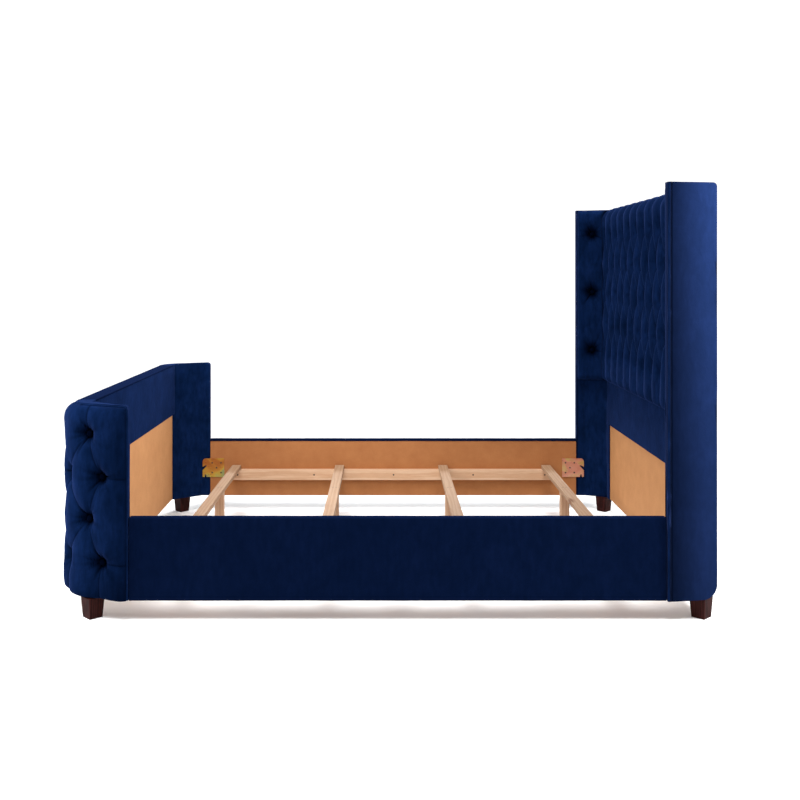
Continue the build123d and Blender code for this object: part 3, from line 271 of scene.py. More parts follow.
NAVY_DARK = (0.0012, 0.0062, 0.0260)
NAVY_LIGHT = (0.0044, 0.0158, 0.0680)
tufted_velvet = velvet("tufted_velvet", NAVY_DARK, NAVY_LIGHT)
wing_velvet = velvet("wing_velvet", (0.0034, 0.0086, 0.0310), (0.0082, 0.0190, 0.0720), sheen=0.13,
                     crush=0.2, seam_y=WING_SEAM_Y * MM, even=0.55)
plain_velvet = velvet("plain_velvet", NAVY_DARK, NAVY_LIGHT, sheen=0.13, crush=0.3)
# A much darker copy of the navy velvet: painted shade on the buttons, which sit deep in their pits
button_velvet = velvet("button_velvet", shade(NAVY_DARK, 0.15), shade(NAVY_LIGHT, 0.15), sheen=0.04,
                       crush=0.1)
# A darker copy of the navy velvet with less sheen: painted shade on the rail covers and the footboard's
# top band
shaded_rail_velvet = velvet("shaded_rail_velvet", (0.0008, 0.0034, 0.0145), (0.0030, 0.0084, 0.0360), sheen=0.055,
                     crush=0.2, even=0.5)
piping_velvet = velvet("piping_velvet", NAVY_DARK, NAVY_LIGHT, sheen=0.2, crush=0.1)
back_cloth = velvet("back_cloth", (0.004, 0.005, 0.009), (0.012, 0.014, 0.022), sheen=0.05, crush=0.2)
tan_board = board("tan_board", (0.61, 0.34, 0.155), (0.73, 0.43, 0.205))
rail_tan = board("rail_tan_board", (0.44, 0.20, 0.074), (0.54, 0.265, 0.104))
pine_x = timber("pine_along_x", (0.31, 0.178, 0.098), (0.385, 0.25, 0.158), "X")
pine_y = timber("pine_along_y", (0.50, 0.29, 0.165), (0.62, 0.41, 0.27), "Y")
pine_z = timber("pine_along_z", (0.42, 0.24, 0.14), (0.52, 0.34, 0.22), "Z", knots=False)
frame_wood = timber("frame_wood", (0.50, 0.32, 0.17), (0.66, 0.46, 0.27), "Z", rough=0.75)
dark_wood = timber("espresso_wood", (0.016, 0.004, 0.0035), (0.042, 0.011, 0.010), "Z",
                   rings=36.0, rough=0.5, knots=False, bump=0.12, gloss=0.05)
head_zinc = zinc("rosy_zinc", [
    (0.60, 0.42, 0.20), (0.62, 0.27, 0.19), (0.66, 0.33, 0.24), (0.58, 0.45, 0.17)])
foot_zinc = zinc("yellow_zinc", [
    (0.50, 0.19, 0.05), (0.62, 0.31, 0.06), (0.60, 0.44, 0.08), (0.36, 0.42, 0.18)])
screw_steel = steel("screw_steel")


def dress(name, mat):
    """Gives a CAD node another material."""
    mesh = nodes[name].data
    if len(mesh.materials):
        for i in range(len(mesh.materials)):
            mesh.materials[i] = mat
    else:
        mesh.materials.append(mat)


for side in ("left", "right"):
    dress(f"rail_board_{side}", rail_tan)
    dress(f"rail_ledger_{side}", pine_y)
    dress(f"wing_frame_{side}", frame_wood)
    dress(f"footboard_wing_frame_{side}", frame_wood)
    for end in ("front", "back"):
        dress(f"foot_{end}_{side}", dark_wood)
for k in range(1, SLAT_COUNT + 1):
    dress(f"slat_{k}", pine_x)
    dress(f"slat_{k}_legs", pine_z)
    dress(f"slat_{k}_screws", screw_steel)
for name in ("headboard_board", "footboard_board"):
    dress(name, tan_board)
for name in ("headboard_stiles", "headboard_crossrails", "footboard_stiles", "footboard_crossrails"):
    dress(name, frame_wood)
dress("hook_plates_head_end", head_zinc)
dress("hook_plates_foot_end", foot_zinc)
for name in ("ledger_screws", "hook_plate_screws", "hook_pins", "wing_bolts", "foot_bolts"):
    dress(name, screw_steel)


def placed(name, data):
    """A new object in the scene."""
    made = bpy.data.objects.new(name, data)
    bpy.context.collection.objects.link(made)
    return made


def smoothed(mesh):
    for polygon in mesh.polygons:
        polygon.use_smooth = True


def piece(name, points, faces, mat, painted_shade=None):
    """A mesh object from points in millimetres; painted_shade says how much painted shade each point
    gets.
    """
    mesh = bpy.data.meshes.new(name)
    mesh.from_pydata([tuple(c * MM for c in p) for p in points], [], faces)
    mesh.update()
    mesh.materials.append(mat)
    if painted_shade is not None:
        # Painted shade for each point, which the velvet shader reads
        shade_attribute = mesh.attributes.new("painted_shade", "FLOAT", "POINT")
        shade_attribute.data.foreach_set("value", np.asarray(painted_shade, dtype=np.float32))
    smoothed(mesh)
    return placed(name, mesh)


def finished(made, slot, *replaced, fill=None):
    """Says what a piece rides on and hides the parts that it stands for."""
    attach(made, "bed_frame")
    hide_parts(*replaced)


def round_rise(x, power=2.0):
    """Rises steeply from 0 and levels off at 1."""
    x = np.clip(x, 0, 1)
    return np.sqrt(np.maximum(0, 1 - (1 - x) ** power))


def smooth_rise(x):
    """Rises from 0 to 1 with a level start and end."""
    x = np.clip(x, 0, 1)
    return x * x * (3 - 2 * x)


def lattice_cells(stations, rows, top, bottom, edge_cells=True):
    """Outlines of the lobes between the buttons of diamond tufting."""
    cells = []
    last = len(stations) - 1
    for j in range(len(rows)):
        for i in range(j % 2, last + 1, 2):
            if i in (0, last) and not edge_cells:
                continue
            left = [stations[i - 1]] if i > 0 else []
            right = [stations[i + 1]] if i < last else []
            here = stations[i]
            if j == 0:
                above = [(x, top) for x in (left or [here]) + (right or [here])]
            else:
                above = [(here, rows[j - 1])]
            if j == len(rows) - 1:
                below = [(x, bottom) for x in (right or [here]) + (left or [here])]
            else:
                below = [(here, rows[j + 1])]
            cells.append(above + [(x, rows[j]) for x in right] + below + [(x, rows[j]) for x in left])
    return cells


def button_places(stations, rows):
    """Where the buttons of diamond tufting sit, which is at the inner crossings of the lattice."""
    last = len(stations) - 1
    return [
        (stations[i], height)
        for j, height in enumerate(rows) for i in range((j + 1) % 2, last + 1, 2) if 0 < i < last
    ]


def patchwork(cells, count, crowding=1.3):
    """Grid points and quads that follow the outlines of the lobes, closer near the pleats."""
    index = {}
    points = []
    quads = []

    def at(x, z):
        key = (round(x, 2), round(z, 2))
        if key not in index:
            index[key] = len(points)
            points.append((x, z))
        return index[key]

    steps = [(k / count) ** crowding for k in range(count + 1)]
    for cell in cells:
        size = len(cell)
        middle = (sum(x for x, z in cell) / size, sum(z for x, z in cell) / size)
        sides = [(cell[i], cell[(i + 1) % size]) for i in range(size)]
        halves = [((a[0] + b[0]) / 2, (a[1] + b[1]) / 2) for a, b in sides]
        turn = sum(a[0] * b[1] - b[0] * a[1] for a, b in sides)
        for i in range(size):
            p, a, b = cell[i], halves[i], halves[i - 1]
            grid = [[at(*[
                (1 - u) * (1 - w) * p[c] + u * (1 - w) * a[c] + (1 - u) * w * b[c] + u * w * middle[c]
                for c in (0, 1)
            ]) for u in steps] for w in steps]
            for j in range(count):
                for k in range(count):
                    quad = [grid[j][k], grid[j][k + 1], grid[j + 1][k + 1], grid[j + 1][k]]
                    quads.append(quad if turn > 0 else quad[::-1])
    return np.array(points), quads


# Painted shade on the strip that turns back along a cloth's edge
SKIRT_SHADE = 0.8
# How far along the cloth, in millimetres, an open edge has already risen above its skirt
EDGE_START = 1.0


def with_skirt(grid, quads, height, painted_shade, depth):
    """Adds a strip with painted shade on it that turns back into the piece all along the edge of the
    cloth.
    """
    count = {}
    for quad in quads:
        for i in range(4):
            key = frozenset((quad[i], quad[(i + 1) % 4]))
            count.setdefault(key, []).append((quad[i], quad[(i + 1) % 4]))
    rim = [ends[0] for ends in count.values() if len(ends) == 1]
    inner = {}
    for a, b in rim:
        for k in (a, b):
            inner.setdefault(k, len(grid) + len(inner))
    quads = quads + [[b, a, inner[a], inner[b]] for a, b in rim]
    order = list(inner)
    return (np.vstack([grid, grid[order]]), quads,
            np.concatenate([height, np.full(len(order), -depth)]),
            np.concatenate([painted_shade, np.full(len(order), SKIRT_SHADE)]))


def pleat_lines(cells):
    """The sides that two lobes share."""
    seen = {}
    for cell in cells:
        for i in range(len(cell)):
            ends = (cell[i], cell[(i + 1) % len(cell)])
            key = frozenset((round(x, 1), round(z, 1)) for x, z in ends)
            seen.setdefault(key, []).append(ends)
    return [ends[0] for ends in seen.values() if len(ends) > 1]


def distance_to_lines(points, lines):
    """How far each point is from the nearest line."""
    best = np.full(len(points), math.inf)
    for (x0, z0), (x1, z1) in lines:
        run = np.array((x1 - x0, z1 - z0))
        share = np.clip(((points - (x0, z0)) @ run) / (run @ run), 0, 1)
        best = np.minimum(best, np.hypot(*(points - (x0, z0) - share[:, None] * run).T))
    return best


# How the cloth falls beside a pleat, in millimetres
CREASE_WIDTH = 6.0
# Width of the painted shade along a pleat
CREASE_LINE = 3.0
SWELL_START = 20.0
# How it falls round a button, in millimetres from the button's middle
SEAT = 7.0
RIM = 8.0
GATHER_RISE = 8.0
GATHER_FULL = 15.0
GATHER_FADE = 19.0
# How far the painted shade in the gathers reaches
DARK_FULL = 20.0
DARK_FADE = 22.0
DEEP_REACH = 40.0
# Each set of gathers round a button: how many, how deep, and how far it turns from button to button
GATHERS = ((5, 1.0, 1.0), (8, 0.9, -1.7), (13, 0.5, 0.6))
GATHER_WIDTH = 0.3
GATHER_TURN = 2.4
# Shares of the crown that a crease and a button take away
DEEPER_AT_BUTTON = 0.25
SHARP_SHARE = 0.3
SEAT_SHARE = 0.98
SEAT_POWER = 1.5
# How much painted shade there is at most, round a button and in its gathers
BUTTON_SHADE = 0.99
GATHER_SHADE = 0.95
# Waves of the cloth: how often per millimetre and how high in millimetres, broad and small
BROAD_WAVE = (0.013, 1.8)
SMALL_WAVE = (0.04, 0.8)
SMALL_WAVE_LEVEL = 7.0


def tuft_heights(points, cells, buttons, crown, reach, crease, bowl, pucker, seed, line=0.6):
    """Height of the cloth over each point, with lobes, creases, button seats and puckers, and the
    painted shade in its pits, creases and gathers.

    crown is the height of a lobe, reach how far a crease spreads, crease its share of the crown, bowl
    how far a button's seat spreads, pucker the depth of the gathers and line how much painted shade a
    crease gets.
    """
    pleat = distance_to_lines(points, pleat_lines(cells))
    spots = np.array(buttons)
    away = np.hypot(points[:, None, 0] - spots[None, :, 0], points[:, None, 1] - spots[None, :, 1])
    nearest = away.argmin(axis=1)
    button = away.min(axis=1)
    angle = np.arctan2(points[:, 1] - spots[nearest, 1], points[:, 0] - spots[nearest, 0])
    sharp = np.exp(-pleat / CREASE_WIDTH)
    broad = np.exp(-(pleat / reach) ** 2)
    depth = crease + DEEPER_AT_BUTTON * np.exp(-button / DEEP_REACH)
    height = crown * (1 - depth * (SHARP_SHARE * sharp + (1 - SHARP_SHARE) * broad))
    height *= 1 - SEAT_SHARE * np.exp(-(np.maximum(button - SEAT, 0) / bowl) ** SEAT_POWER)
    own = nearest * GATHER_TURN + seed
    folds = sum(
        -share * np.exp(-(np.sin((angle * count + own * turn) / 2) / GATHER_WIDTH) ** 2)
        for count, share, turn in GATHERS
    )
    fade = np.exp(-np.maximum(button - GATHER_FULL, 0) / GATHER_FADE)
    height = height + pucker * folds * smooth_rise((button - RIM) / GATHER_RISE) * fade
    # Painted shade: in a button's pit, along the pleats and in the gathers
    painted_shade = BUTTON_SHADE * np.exp(-(np.maximum(button - RIM, 0) / bowl) ** 2)
    painted_shade = np.maximum(painted_shade, line * np.exp(-pleat / CREASE_LINE))
    dark = -folds * np.exp(-np.maximum(button - DARK_FULL, 0) / DARK_FADE)
    painted_shade = np.maximum(painted_shade, np.clip(dark, 0, GATHER_SHADE))
    (often, broad_rise), (oftener, small_rise) = BROAD_WAVE, SMALL_WAVE
    waves = np.array([
        noise.noise(Vector((x * often + seed, z * often, seed))) * broad_rise
        + noise.noise(Vector((x * oftener, z * oftener + seed, SMALL_WAVE_LEVEL))) * small_rise
        for x, z in points
    ])
    return height + waves * smooth_rise(pleat / SWELL_START), painted_shade


# Rings of a covered button from its rim to near its middle: share of its radius, share of its height
DOME_RINGS = [(1.0, 0.0), (1.04, 0.22), (1.0, 0.45), (0.86, 0.72), (0.62, 0.9), (0.32, 0.98)]
DOME_SIDES = 20


def domes(name, planes):
    """Covered buttons: flattened domes with a tucked-in rim."""
    points, faces = [], []
    for origin, across, up, out in planes:
        start = len(points)
        for share, rise in DOME_RINGS:
            for k in range(DOME_SIDES):
                turn = 2 * math.pi * k / DOME_SIDES
                points.append(origin + out * BUTTON_HEIGHT * rise
                              + (across * math.cos(turn) + up * math.sin(turn)) * BUTTON_RADIUS * share)
        points.append(origin + out * BUTTON_HEIGHT)
        for j in range(len(DOME_RINGS) - 1):
            for k in range(DOME_SIDES):
                a = start + j * DOME_SIDES + k
                b = start + j * DOME_SIDES + (k + 1) % DOME_SIDES
                faces.append((a, b, b + DOME_SIDES, a + DOME_SIDES))
        base = start + (len(DOME_RINGS) - 1) * DOME_SIDES
        for k in range(DOME_SIDES):
            faces.append((base + k, base + (k + 1) % DOME_SIDES, len(points) - 1))
    return piece(name, points, faces, button_velvet)


# The way that the headboard pad's cloth takes over its top, from the front to the back
HEAD_ROLL_Z = 1442.0
HEAD_PATH = [("line", HEAD_ROLL_Z - TUFT_BOTTOM), ("arc", 18.0), ("line", 10.0), ("arc", 7.0),
             ("line", 13.0)]
SPENT = 1e-9
HEAD_V_TOP = TUFT_BOTTOM + sum(
    size if kind == "line" else size * math.pi / 2 for kind, size in HEAD_PATH)


def head_profile(v, out):
    """A point over the front, top and back of the headboard pad: v is measured up along the cloth."""
    y, z, heading = PLEAT_Y, TUFT_BOTTOM, math.pi / 2
    left = v - TUFT_BOTTOM
    for kind, size in HEAD_PATH:
        length = size if kind == "line" else size * math.pi / 2
        run = min(left, length) if (kind, size) != HEAD_PATH[-1] else left
        if kind == "line":
            y += math.cos(heading) * run
            z += math.sin(heading) * run
        else:
            centre = (y + math.sin(heading) * size, z - math.cos(heading) * size)
            heading -= run / size
            y = centre[0] - math.sin(heading) * size
            z = centre[1] + math.cos(heading) * size
        left -= run
        if left <= SPENT:
            break
    return y - math.sin(heading) * out, z + math.cos(heading) * out


head_stations = [(k - TUFT_HALF_COUNT) * TUFT_PITCH / 2 for k in range(2 * TUFT_HALF_COUNT + 1)]
head_cells = lattice_cells(head_stations, HEAD_ROWS, HEAD_V_TOP, TUFT_BOTTOM)
head_buttons = button_places(head_stations, HEAD_ROWS)

HEAD_PATCHES = 8
HEAD_ROLL_START = 1420.0
HEAD_ROLL_RUN = 45.0
HEAD_ROLL_FLATTENING = 0.55
HEAD_BACK_EDGE = 30.0
HEAD_BACK_ROOM = 2.0
HEAD_LOW_EDGE = 34.0
HEAD_LOW_TUCK = 4.0
HEAD_SIDE_EDGE = 20.0
HEAD_SIDE_OVERHANG = 2.0
HEAD_SKIRT = 8.0
# Painted shade on the headboard pad: half of that in its pits and creases, and more towards its ends
# beside the wings
HEAD_SHADE_SHARE = 0.5
HEAD_SIDE_SHADE = 0.8
HEAD_DARK_SIDE = 34.0
HEAD_DARK_FADE = 26.0


def headboard_pad():
    """The tufted cloth over the upper headboard, flatter over the roll at its top."""
    grid, quads = patchwork(head_cells, HEAD_PATCHES)
    height, painted_shade = tuft_heights(grid, head_cells, head_buttons, crown=35.0, reach=34.0, crease=0.55,
                               bowl=17.0, pucker=2.0, seed=1.3)
    aside, v = np.abs(grid[:, 0]), grid[:, 1]
    height *= 1 - HEAD_ROLL_FLATTENING * smooth_rise((v - HEAD_ROLL_START) / HEAD_ROLL_RUN)
    height *= round_rise((HEAD_V_TOP - v) / HEAD_BACK_EDGE)
    height = (height + HEAD_LOW_TUCK) * round_rise((v - TUFT_BOTTOM) / HEAD_LOW_EDGE) - HEAD_LOW_TUCK
    height *= round_rise((TUFT_HALF + HEAD_SIDE_OVERHANG - aside) / HEAD_SIDE_EDGE)
    # Painted shade towards the pad's ends, in the corners beside the wings
    ends = smooth_rise((aside - TUFT_HALF + HEAD_DARK_SIDE) / HEAD_DARK_FADE)
    painted_shade = np.maximum(HEAD_SHADE_SHARE * painted_shade, HEAD_SIDE_SHADE * ends)
    grid, quads, height, painted_shade = with_skirt(grid, quads, height, painted_shade, HEAD_SKIRT)
    points = []
    for (x, level), out in zip(grid, height):
        y, z = head_profile(level, out)
        points.append((x, min(y, BACK_Y - HEAD_BACK_ROOM), z))
    made = piece("headboard_tufting", points, quads, tufted_velvet, painted_shade=painted_shade)
    modifier = made.modifiers.new("smooth", "SUBSURF")
    modifier.levels = modifier.render_levels = 1
    return made


finished(headboard_pad(), "tufted_velvet", "headboard_tufted_pad", fill=0.9)
finished(domes("headboard_covered_buttons", [
    (Vector((x, PLEAT_Y - BUTTON_SINK, z)), Vector((1, 0, 0)), Vector((0, 0, 1)), Vector((0, -1, 0)))
    for x, z in head_buttons
]), "button_velvet", "headboard_buttons")

# The wing pads lie on a slanting plane, with stations from its front edge to its back edge
WING_SLOPE = WING_INNER_FLARE / (BOARD_FRONT_Y - THIN_PADDING - WING_FRONT_Y - WING_FLAT_LENGTH)
WING_BACK_X = WING_FLAT_X - WING_SLOPE * (WING_BACK_Y - WING_FRONT_Y - WING_FLAT_LENGTH)
WING_START = (WING_FLAT_X, WING_FRONT_Y + THIN_PADDING)
WING_LENGTH = math.hypot(WING_BACK_Y - WING_START[1], WING_BACK_X - WING_START[0])
WING_ALONG = ((WING_BACK_X - WING_START[0]) / WING_LENGTH,
              (WING_BACK_Y - WING_START[1]) / WING_LENGTH)
WING_PAD_DROP = 4.0
WING_PAD_TOP = HEAD_TOP - WING_PAD_DROP
WING_PATCHES = 20
WING_FRONT_EDGE = 20.0
WING_LOW_EDGE = 30.0
WING_LOW_TUCK = 6.0
WING_TOP_EDGE = 22.0
WING_SKIRT = 5.0
WING_BACK_SHADE = 0.95
WING_DARK_BACK = 34.0
WING_DARK_FADE = 24.0
wing_stations = [0, WING_BUTTON_STATION, WING_LENGTH]
wing_cells = lattice_cells(wing_stations, HEAD_ROWS, WING_PAD_TOP, TUFT_BOTTOM)
wing_buttons = button_places(wing_stations, HEAD_ROWS)


def wing_place(side, s, z, out):
    """A point at a station of a wing, raised out of its inner face."""
    return Vector((
        side * (WING_START[0] + WING_ALONG[0] * s - WING_ALONG[1] * out),
        WING_START[1] + WING_ALONG[1] * s + WING_ALONG[0] * out,
        z,
    ))


def wing_pad(name, side):
    """The tufted cloth on the inner face of a wing, with painted shade towards the headboard."""
    grid, quads = patchwork(wing_cells, WING_PATCHES)
    height, painted_shade = tuft_heights(grid, wing_cells, wing_buttons, crown=27.0, reach=30.0, crease=0.12,
                               bowl=27.0, pucker=4.5, seed=3.1 + side, line=0.05)
    s, z = grid[:, 0], grid[:, 1]
    height *= round_rise((s + EDGE_START) / WING_FRONT_EDGE)
    height = (height + WING_LOW_TUCK) * round_rise((z - TUFT_BOTTOM) / WING_LOW_EDGE) - WING_LOW_TUCK
    height *= round_rise((WING_PAD_TOP - z) / WING_TOP_EDGE)
    # Painted shade towards the back, in the corner where the wing meets the headboard
    back = smooth_rise((s - WING_LENGTH + WING_DARK_BACK) / WING_DARK_FADE)
    painted_shade = np.maximum(painted_shade, WING_BACK_SHADE * back)
    grid, quads, height, painted_shade = with_skirt(grid, quads, height, painted_shade, WING_SKIRT)
    points = [wing_place(side, along, level, out) for (along, level), out in zip(grid, height)]
    if side > 0:
        quads = [quad[::-1] for quad in quads]
    return piece(name, points, quads, tufted_velvet, painted_shade=painted_shade)


for side, word in ((1, "right"), (-1, "left")):
    finished(wing_pad(f"wing_tufting_{word}", side), "tufted_velvet", f"wing_tufted_pad_{word}",
             fill=0.85)
finished(domes("wing_covered_buttons", [
    (wing_place(side, s, z, -BUTTON_SINK), Vector((0, 0, 1)),
     Vector((side * WING_ALONG[0], WING_ALONG[1], 0)),
     Vector((-side * WING_ALONG[1], WING_ALONG[0], 0)))
    for side in (1, -1) for s, z in wing_buttons
]), "button_velvet", "wing_buttons")


def path_point(s, out):
    """Plan point beside the footboard's outer seam, measured from the tip of the right wing."""
    if s > PATH / 2:
        x, y = path_point(PATH - s, out)
        return -x, y
    if s <= WING_RUN:
        x, y = TIP[0] - s * math.sin(FLARE), TIP[1] - s * math.cos(FLARE)
        return x + out * math.cos(FLARE), y - out * math.sin(FLARE)
    centre = (FRONT_HALF, FRONT_Y + BEND_R)
    if s <= WING_RUN + BEND_RUN:
        angle = FLARE + (s - WING_RUN) / BEND_R
        return (centre[0] + (BEND_R + out) * math.cos(angle),
                centre[1] - (BEND_R + out) * math.sin(angle))
    return FRONT_HALF - (s - WING_RUN - BEND_RUN), FRONT_Y - out


# Lobes of the footboard: those of each corner are listed, and the front has a lattice
foot_pitch = (PATH - 2 * CORNER_S) / FRONT_COLUMNS
front_stations = [CORNER_S + k * foot_pitch / 2 for k in range(2 * FRONT_COLUMNS + 1)]
TUCK = 12.0
FOOT_TURNED_IN = 38.0
FOOT_V_BOTTOM = FOOT - FOOT_TURNED_IN
TIP_ROUND = 14.0
tip_s, a_s, b_s, c_s, d_s = 3.0, 98.0, 150.0, front_stations[0], front_stations[1]
r1, r2, r3, r4 = FOOT_ROWS
corner_cells = [
    [(tip_s, FOOT_TOP), (b_s, FOOT_TOP), (b_s, r1), (a_s, r2), (tip_s, r2)],
    [(tip_s, r2), (a_s, r2), (b_s, r3), (a_s, r4), (tip_s, r4)],
    [(tip_s, r4), (a_s, r4), (a_s, FOOT_V_BOTTOM), (tip_s, FOOT_V_BOTTOM)],
    [(b_s, FOOT_TOP), (d_s, FOOT_TOP), (d_s, r1), (c_s, r2), (b_s, r1)],
    [(b_s, r1), (c_s, r2), (b_s, r3), (a_s, r2)],
    [(c_s, r2), (d_s, r3), (c_s, r4), (b_s, r3)],
    [(a_s, r4), (b_s, r3), (c_s, r4), (c_s, FOOT_V_BOTTOM), (a_s, FOOT_V_BOTTOM)],
]
corner_buttons = [(b_s, r1), (b_s, r3), (a_s, r2), (a_s, r4)]
foot_cells = corner_cells + [[(PATH - s, z) for s, z in cell] for cell in corner_cells]
foot_cells += lattice_cells(front_stations, FOOT_ROWS, FOOT_TOP, FOOT_V_BOTTOM, edge_cells=False)
foot_buttons = corner_buttons + [(PATH - s, z) for s, z in corner_buttons]
foot_buttons += button_places(front_stations, FOOT_ROWS)
foot_buttons += [(s, z) for s in (c_s, front_stations[-1]) for z in (r2, r4)]

FOOT_PATCHES = 18
WING_CROWN = 37.0
FRONT_CROWN_EXTRA = 17.0
CROWN_GROWTH_START = 232.0
CROWN_GROWTH_RUN = 70.0
FOOT_TOP_EDGE = 60.0
FOOT_LOW_EDGE = 70.0
FOOT_LOW_SHARE = 0.82
FOOT_TIP_EDGE = 26.0
FOOT_TIP_POWER = 2.2
FOOT_SKIRT = 6.0
FOOT_DEEPEST = 2.5
# Painted shade on the footboard pad, growing towards the tips of its wings and towards its bottom
DARK_WING_SHADE = 0.42
DARK_WING_REACH = 150.0
DARK_WING_RUN = 130.0
DARK_LOW_SHADE = 0.3
DARK_LOW_RUN = 170.0


def footboard_pad():
    """The tufted cloth round the footboard, which turns under at its lower edge."""
    grid, quads = patchwork(foot_cells, FOOT_PATCHES)
    s, v = grid[:, 0], grid[:, 1]
    around = np.minimum(s, PATH - s)
    growth = smooth_rise((around - CROWN_GROWTH_START) / CROWN_GROWTH_RUN)
    crown = WING_CROWN + FRONT_CROWN_EXTRA * growth
    height, painted_shade = tuft_heights(grid, foot_cells, foot_buttons, crown=crown, reach=30.0, crease=0.28,
                               bowl=20.0, pucker=5.0, seed=5.7)
    # Painted shade where the light falls off, towards the wing tips and the bottom
    falloff_shade = DARK_WING_SHADE * smooth_rise((DARK_WING_REACH - around) / DARK_WING_RUN)
    falloff_shade = falloff_shade + DARK_LOW_SHADE * smooth_rise((FOOT + DARK_LOW_RUN - v) / DARK_LOW_RUN)
    painted_shade = 1 - (1 - painted_shade) * (1 - falloff_shade)
    height *= round_rise((FOOT_TOP - v) / FOOT_TOP_EDGE)
    height *= FOOT_LOW_SHARE + (1 - FOOT_LOW_SHARE) * round_rise((v - FOOT) / FOOT_LOW_EDGE)
    height = height * round_rise((around + EDGE_START) / FOOT_TIP_EDGE, FOOT_TIP_POWER)
    away = np.array([tip_s + TIP_ROUND, FOOT_TOP - TIP_ROUND])
    for k in range(len(grid)):
        corner = np.array([around[k], v[k]]) - away
        if corner[0] < 0 < corner[1] and np.hypot(*corner) > TIP_ROUND:
            moved = away + corner * TIP_ROUND / np.hypot(*corner)
            grid[k] = (moved[0] if s[k] < PATH / 2 else PATH - moved[0], moved[1])
    grid, quads, height, painted_shade = with_skirt(grid, quads, height, painted_shade, FOOT_SKIRT)
    points = []
    for (station, level), out in zip(grid, height):
        z = level
        turned = (FOOT + TUCK - level) / TUCK
        if turned > 0:
            bend = min(turned, math.pi / 2)
            z = FOOT + TUCK - TUCK * math.sin(bend)
            inwards = TUCK * (1 - math.cos(bend)) + TUCK * max(0.0, turned - math.pi / 2)
            out = max(-FOOT_DEEPEST, out - inwards)
        points.append((*path_point(station, out), z))
    return piece("footboard_tufting", points, quads, tufted_velvet, painted_shade=painted_shade)


finished(footboard_pad(), "tufted_velvet", "footboard_front_pad", "footboard_corner_pad_right",
         "footboard_corner_pad_left", fill=0.9)


FOOT_BUTTON_OUT = 3.0
FACING_STEP = 10.0


def path_frame(s, z, out):
    """A point beside the footboard's outer seam, with its directions across, up and out."""
    here = Vector((*path_point(s, out), z))
    there = Vector((*path_point(s, out + FACING_STEP), z))
    facing = (there - here).normalized()
    return here, facing.cross(Vector((0, 0, 1))), Vector((0, 0, 1)), facing


finished(domes("footboard_covered_buttons", [
    path_frame(s, z, FOOT_BUTTON_OUT) for s, z in foot_buttons
]), "button_velvet", "footboard_buttons")

MERGE_DISTANCE = 0.05
FLAT_ANGLE = math.radians(2)
SHARP_ANGLE = math.radians(40)
CUT_ROUNDS = 6
# Unevenness of a plain cover: how often per metre and with what share
UNEVENNESS = ((7, 0.6), (22, 0.4))
OUTER_FACE_DEPTH = 3.0


def triangulated(mesh):
    bmesh.ops.triangulate(mesh, faces=[f for f in mesh.faces if len(f.verts) > 4])


def softened(node, name, bevel, wave=0.8, cut=38.0, mat=plain_velvet, rounding=None, swell=0.0):
    """A copy of a plain cover with rounded edges and a slightly uneven surface.

    wave is the unevenness and cut the longest edge that is left. rounding gives the middle and
    radius, in the YZ plane, of a corner that is cut round, and swell how far a wing's outer face
    bulges between its seam and its back edge.
    """
    mesh = nodes[node].data.copy()
    mesh.name = name
    grown = bmesh.new()
    grown.from_mesh(mesh)
    bmesh.ops.remove_doubles(grown, verts=grown.verts, dist=MERGE_DISTANCE * MM)
    bmesh.ops.dissolve_limit(grown, angle_limit=FLAT_ANGLE, verts=grown.verts, edges=grown.edges)
    sharp = [e for e in grown.edges if len(e.link_faces) == 2 and e.calc_face_angle(0) > SHARP_ANGLE]
    bmesh.ops.bevel(grown, geom=sharp, offset=bevel * MM, segments=3, profile=0.5, affect="EDGES",
                    clamp_overlap=True)
    triangulated(grown)
    for _ in range(CUT_ROUNDS):
        long_edges = [e for e in grown.edges if e.calc_length() > cut * MM]
        if not long_edges:
            break
        bmesh.ops.subdivide_edges(grown, edges=long_edges, cuts=1, use_grid_fill=True)
        triangulated(grown)
    if rounding:
        y, z, radius = (c * MM for c in rounding)
        for vert in grown.verts:
            corner = Vector((vert.co.y - y, vert.co.z - z))
            if corner.x > 0 and corner.y > 0 and corner.length > radius:
                vert.co.yz = (y + corner.x * radius / corner.length,
                              z + corner.y * radius / corner.length)
    if swell:
        for vert in grown.verts:
            across = (vert.co.y / MM - WING_SEAM_Y) / (BACK_Y - WING_SEAM_Y)
            if 0 < across < 1 and abs(vert.co.x) > (HALF_WIDTH - OUTER_FACE_DEPTH) * MM:
                vert.co.x += math.copysign(4 * across * (1 - across) * swell * MM, vert.co.x)
    grown.normal_update()
    for vert in grown.verts:
        p = vert.co
        lift = sum(noise.noise(p * often) * share for often, share in UNEVENNESS)
        vert.co = p + vert.normal * lift * wave * MM
    grown.to_mesh(mesh)
    grown.free()
    smoothed(mesh)
    mesh.materials.clear()
    mesh.materials.append(mat)
    return placed(name, mesh)


def plain_cover(node, name, bevel, **looks):
    """Puts a softened copy in the place of a plain velvet cover."""
    finished(softened(node, name, bevel, **looks), "plain_velvet", node, fill=0.3)


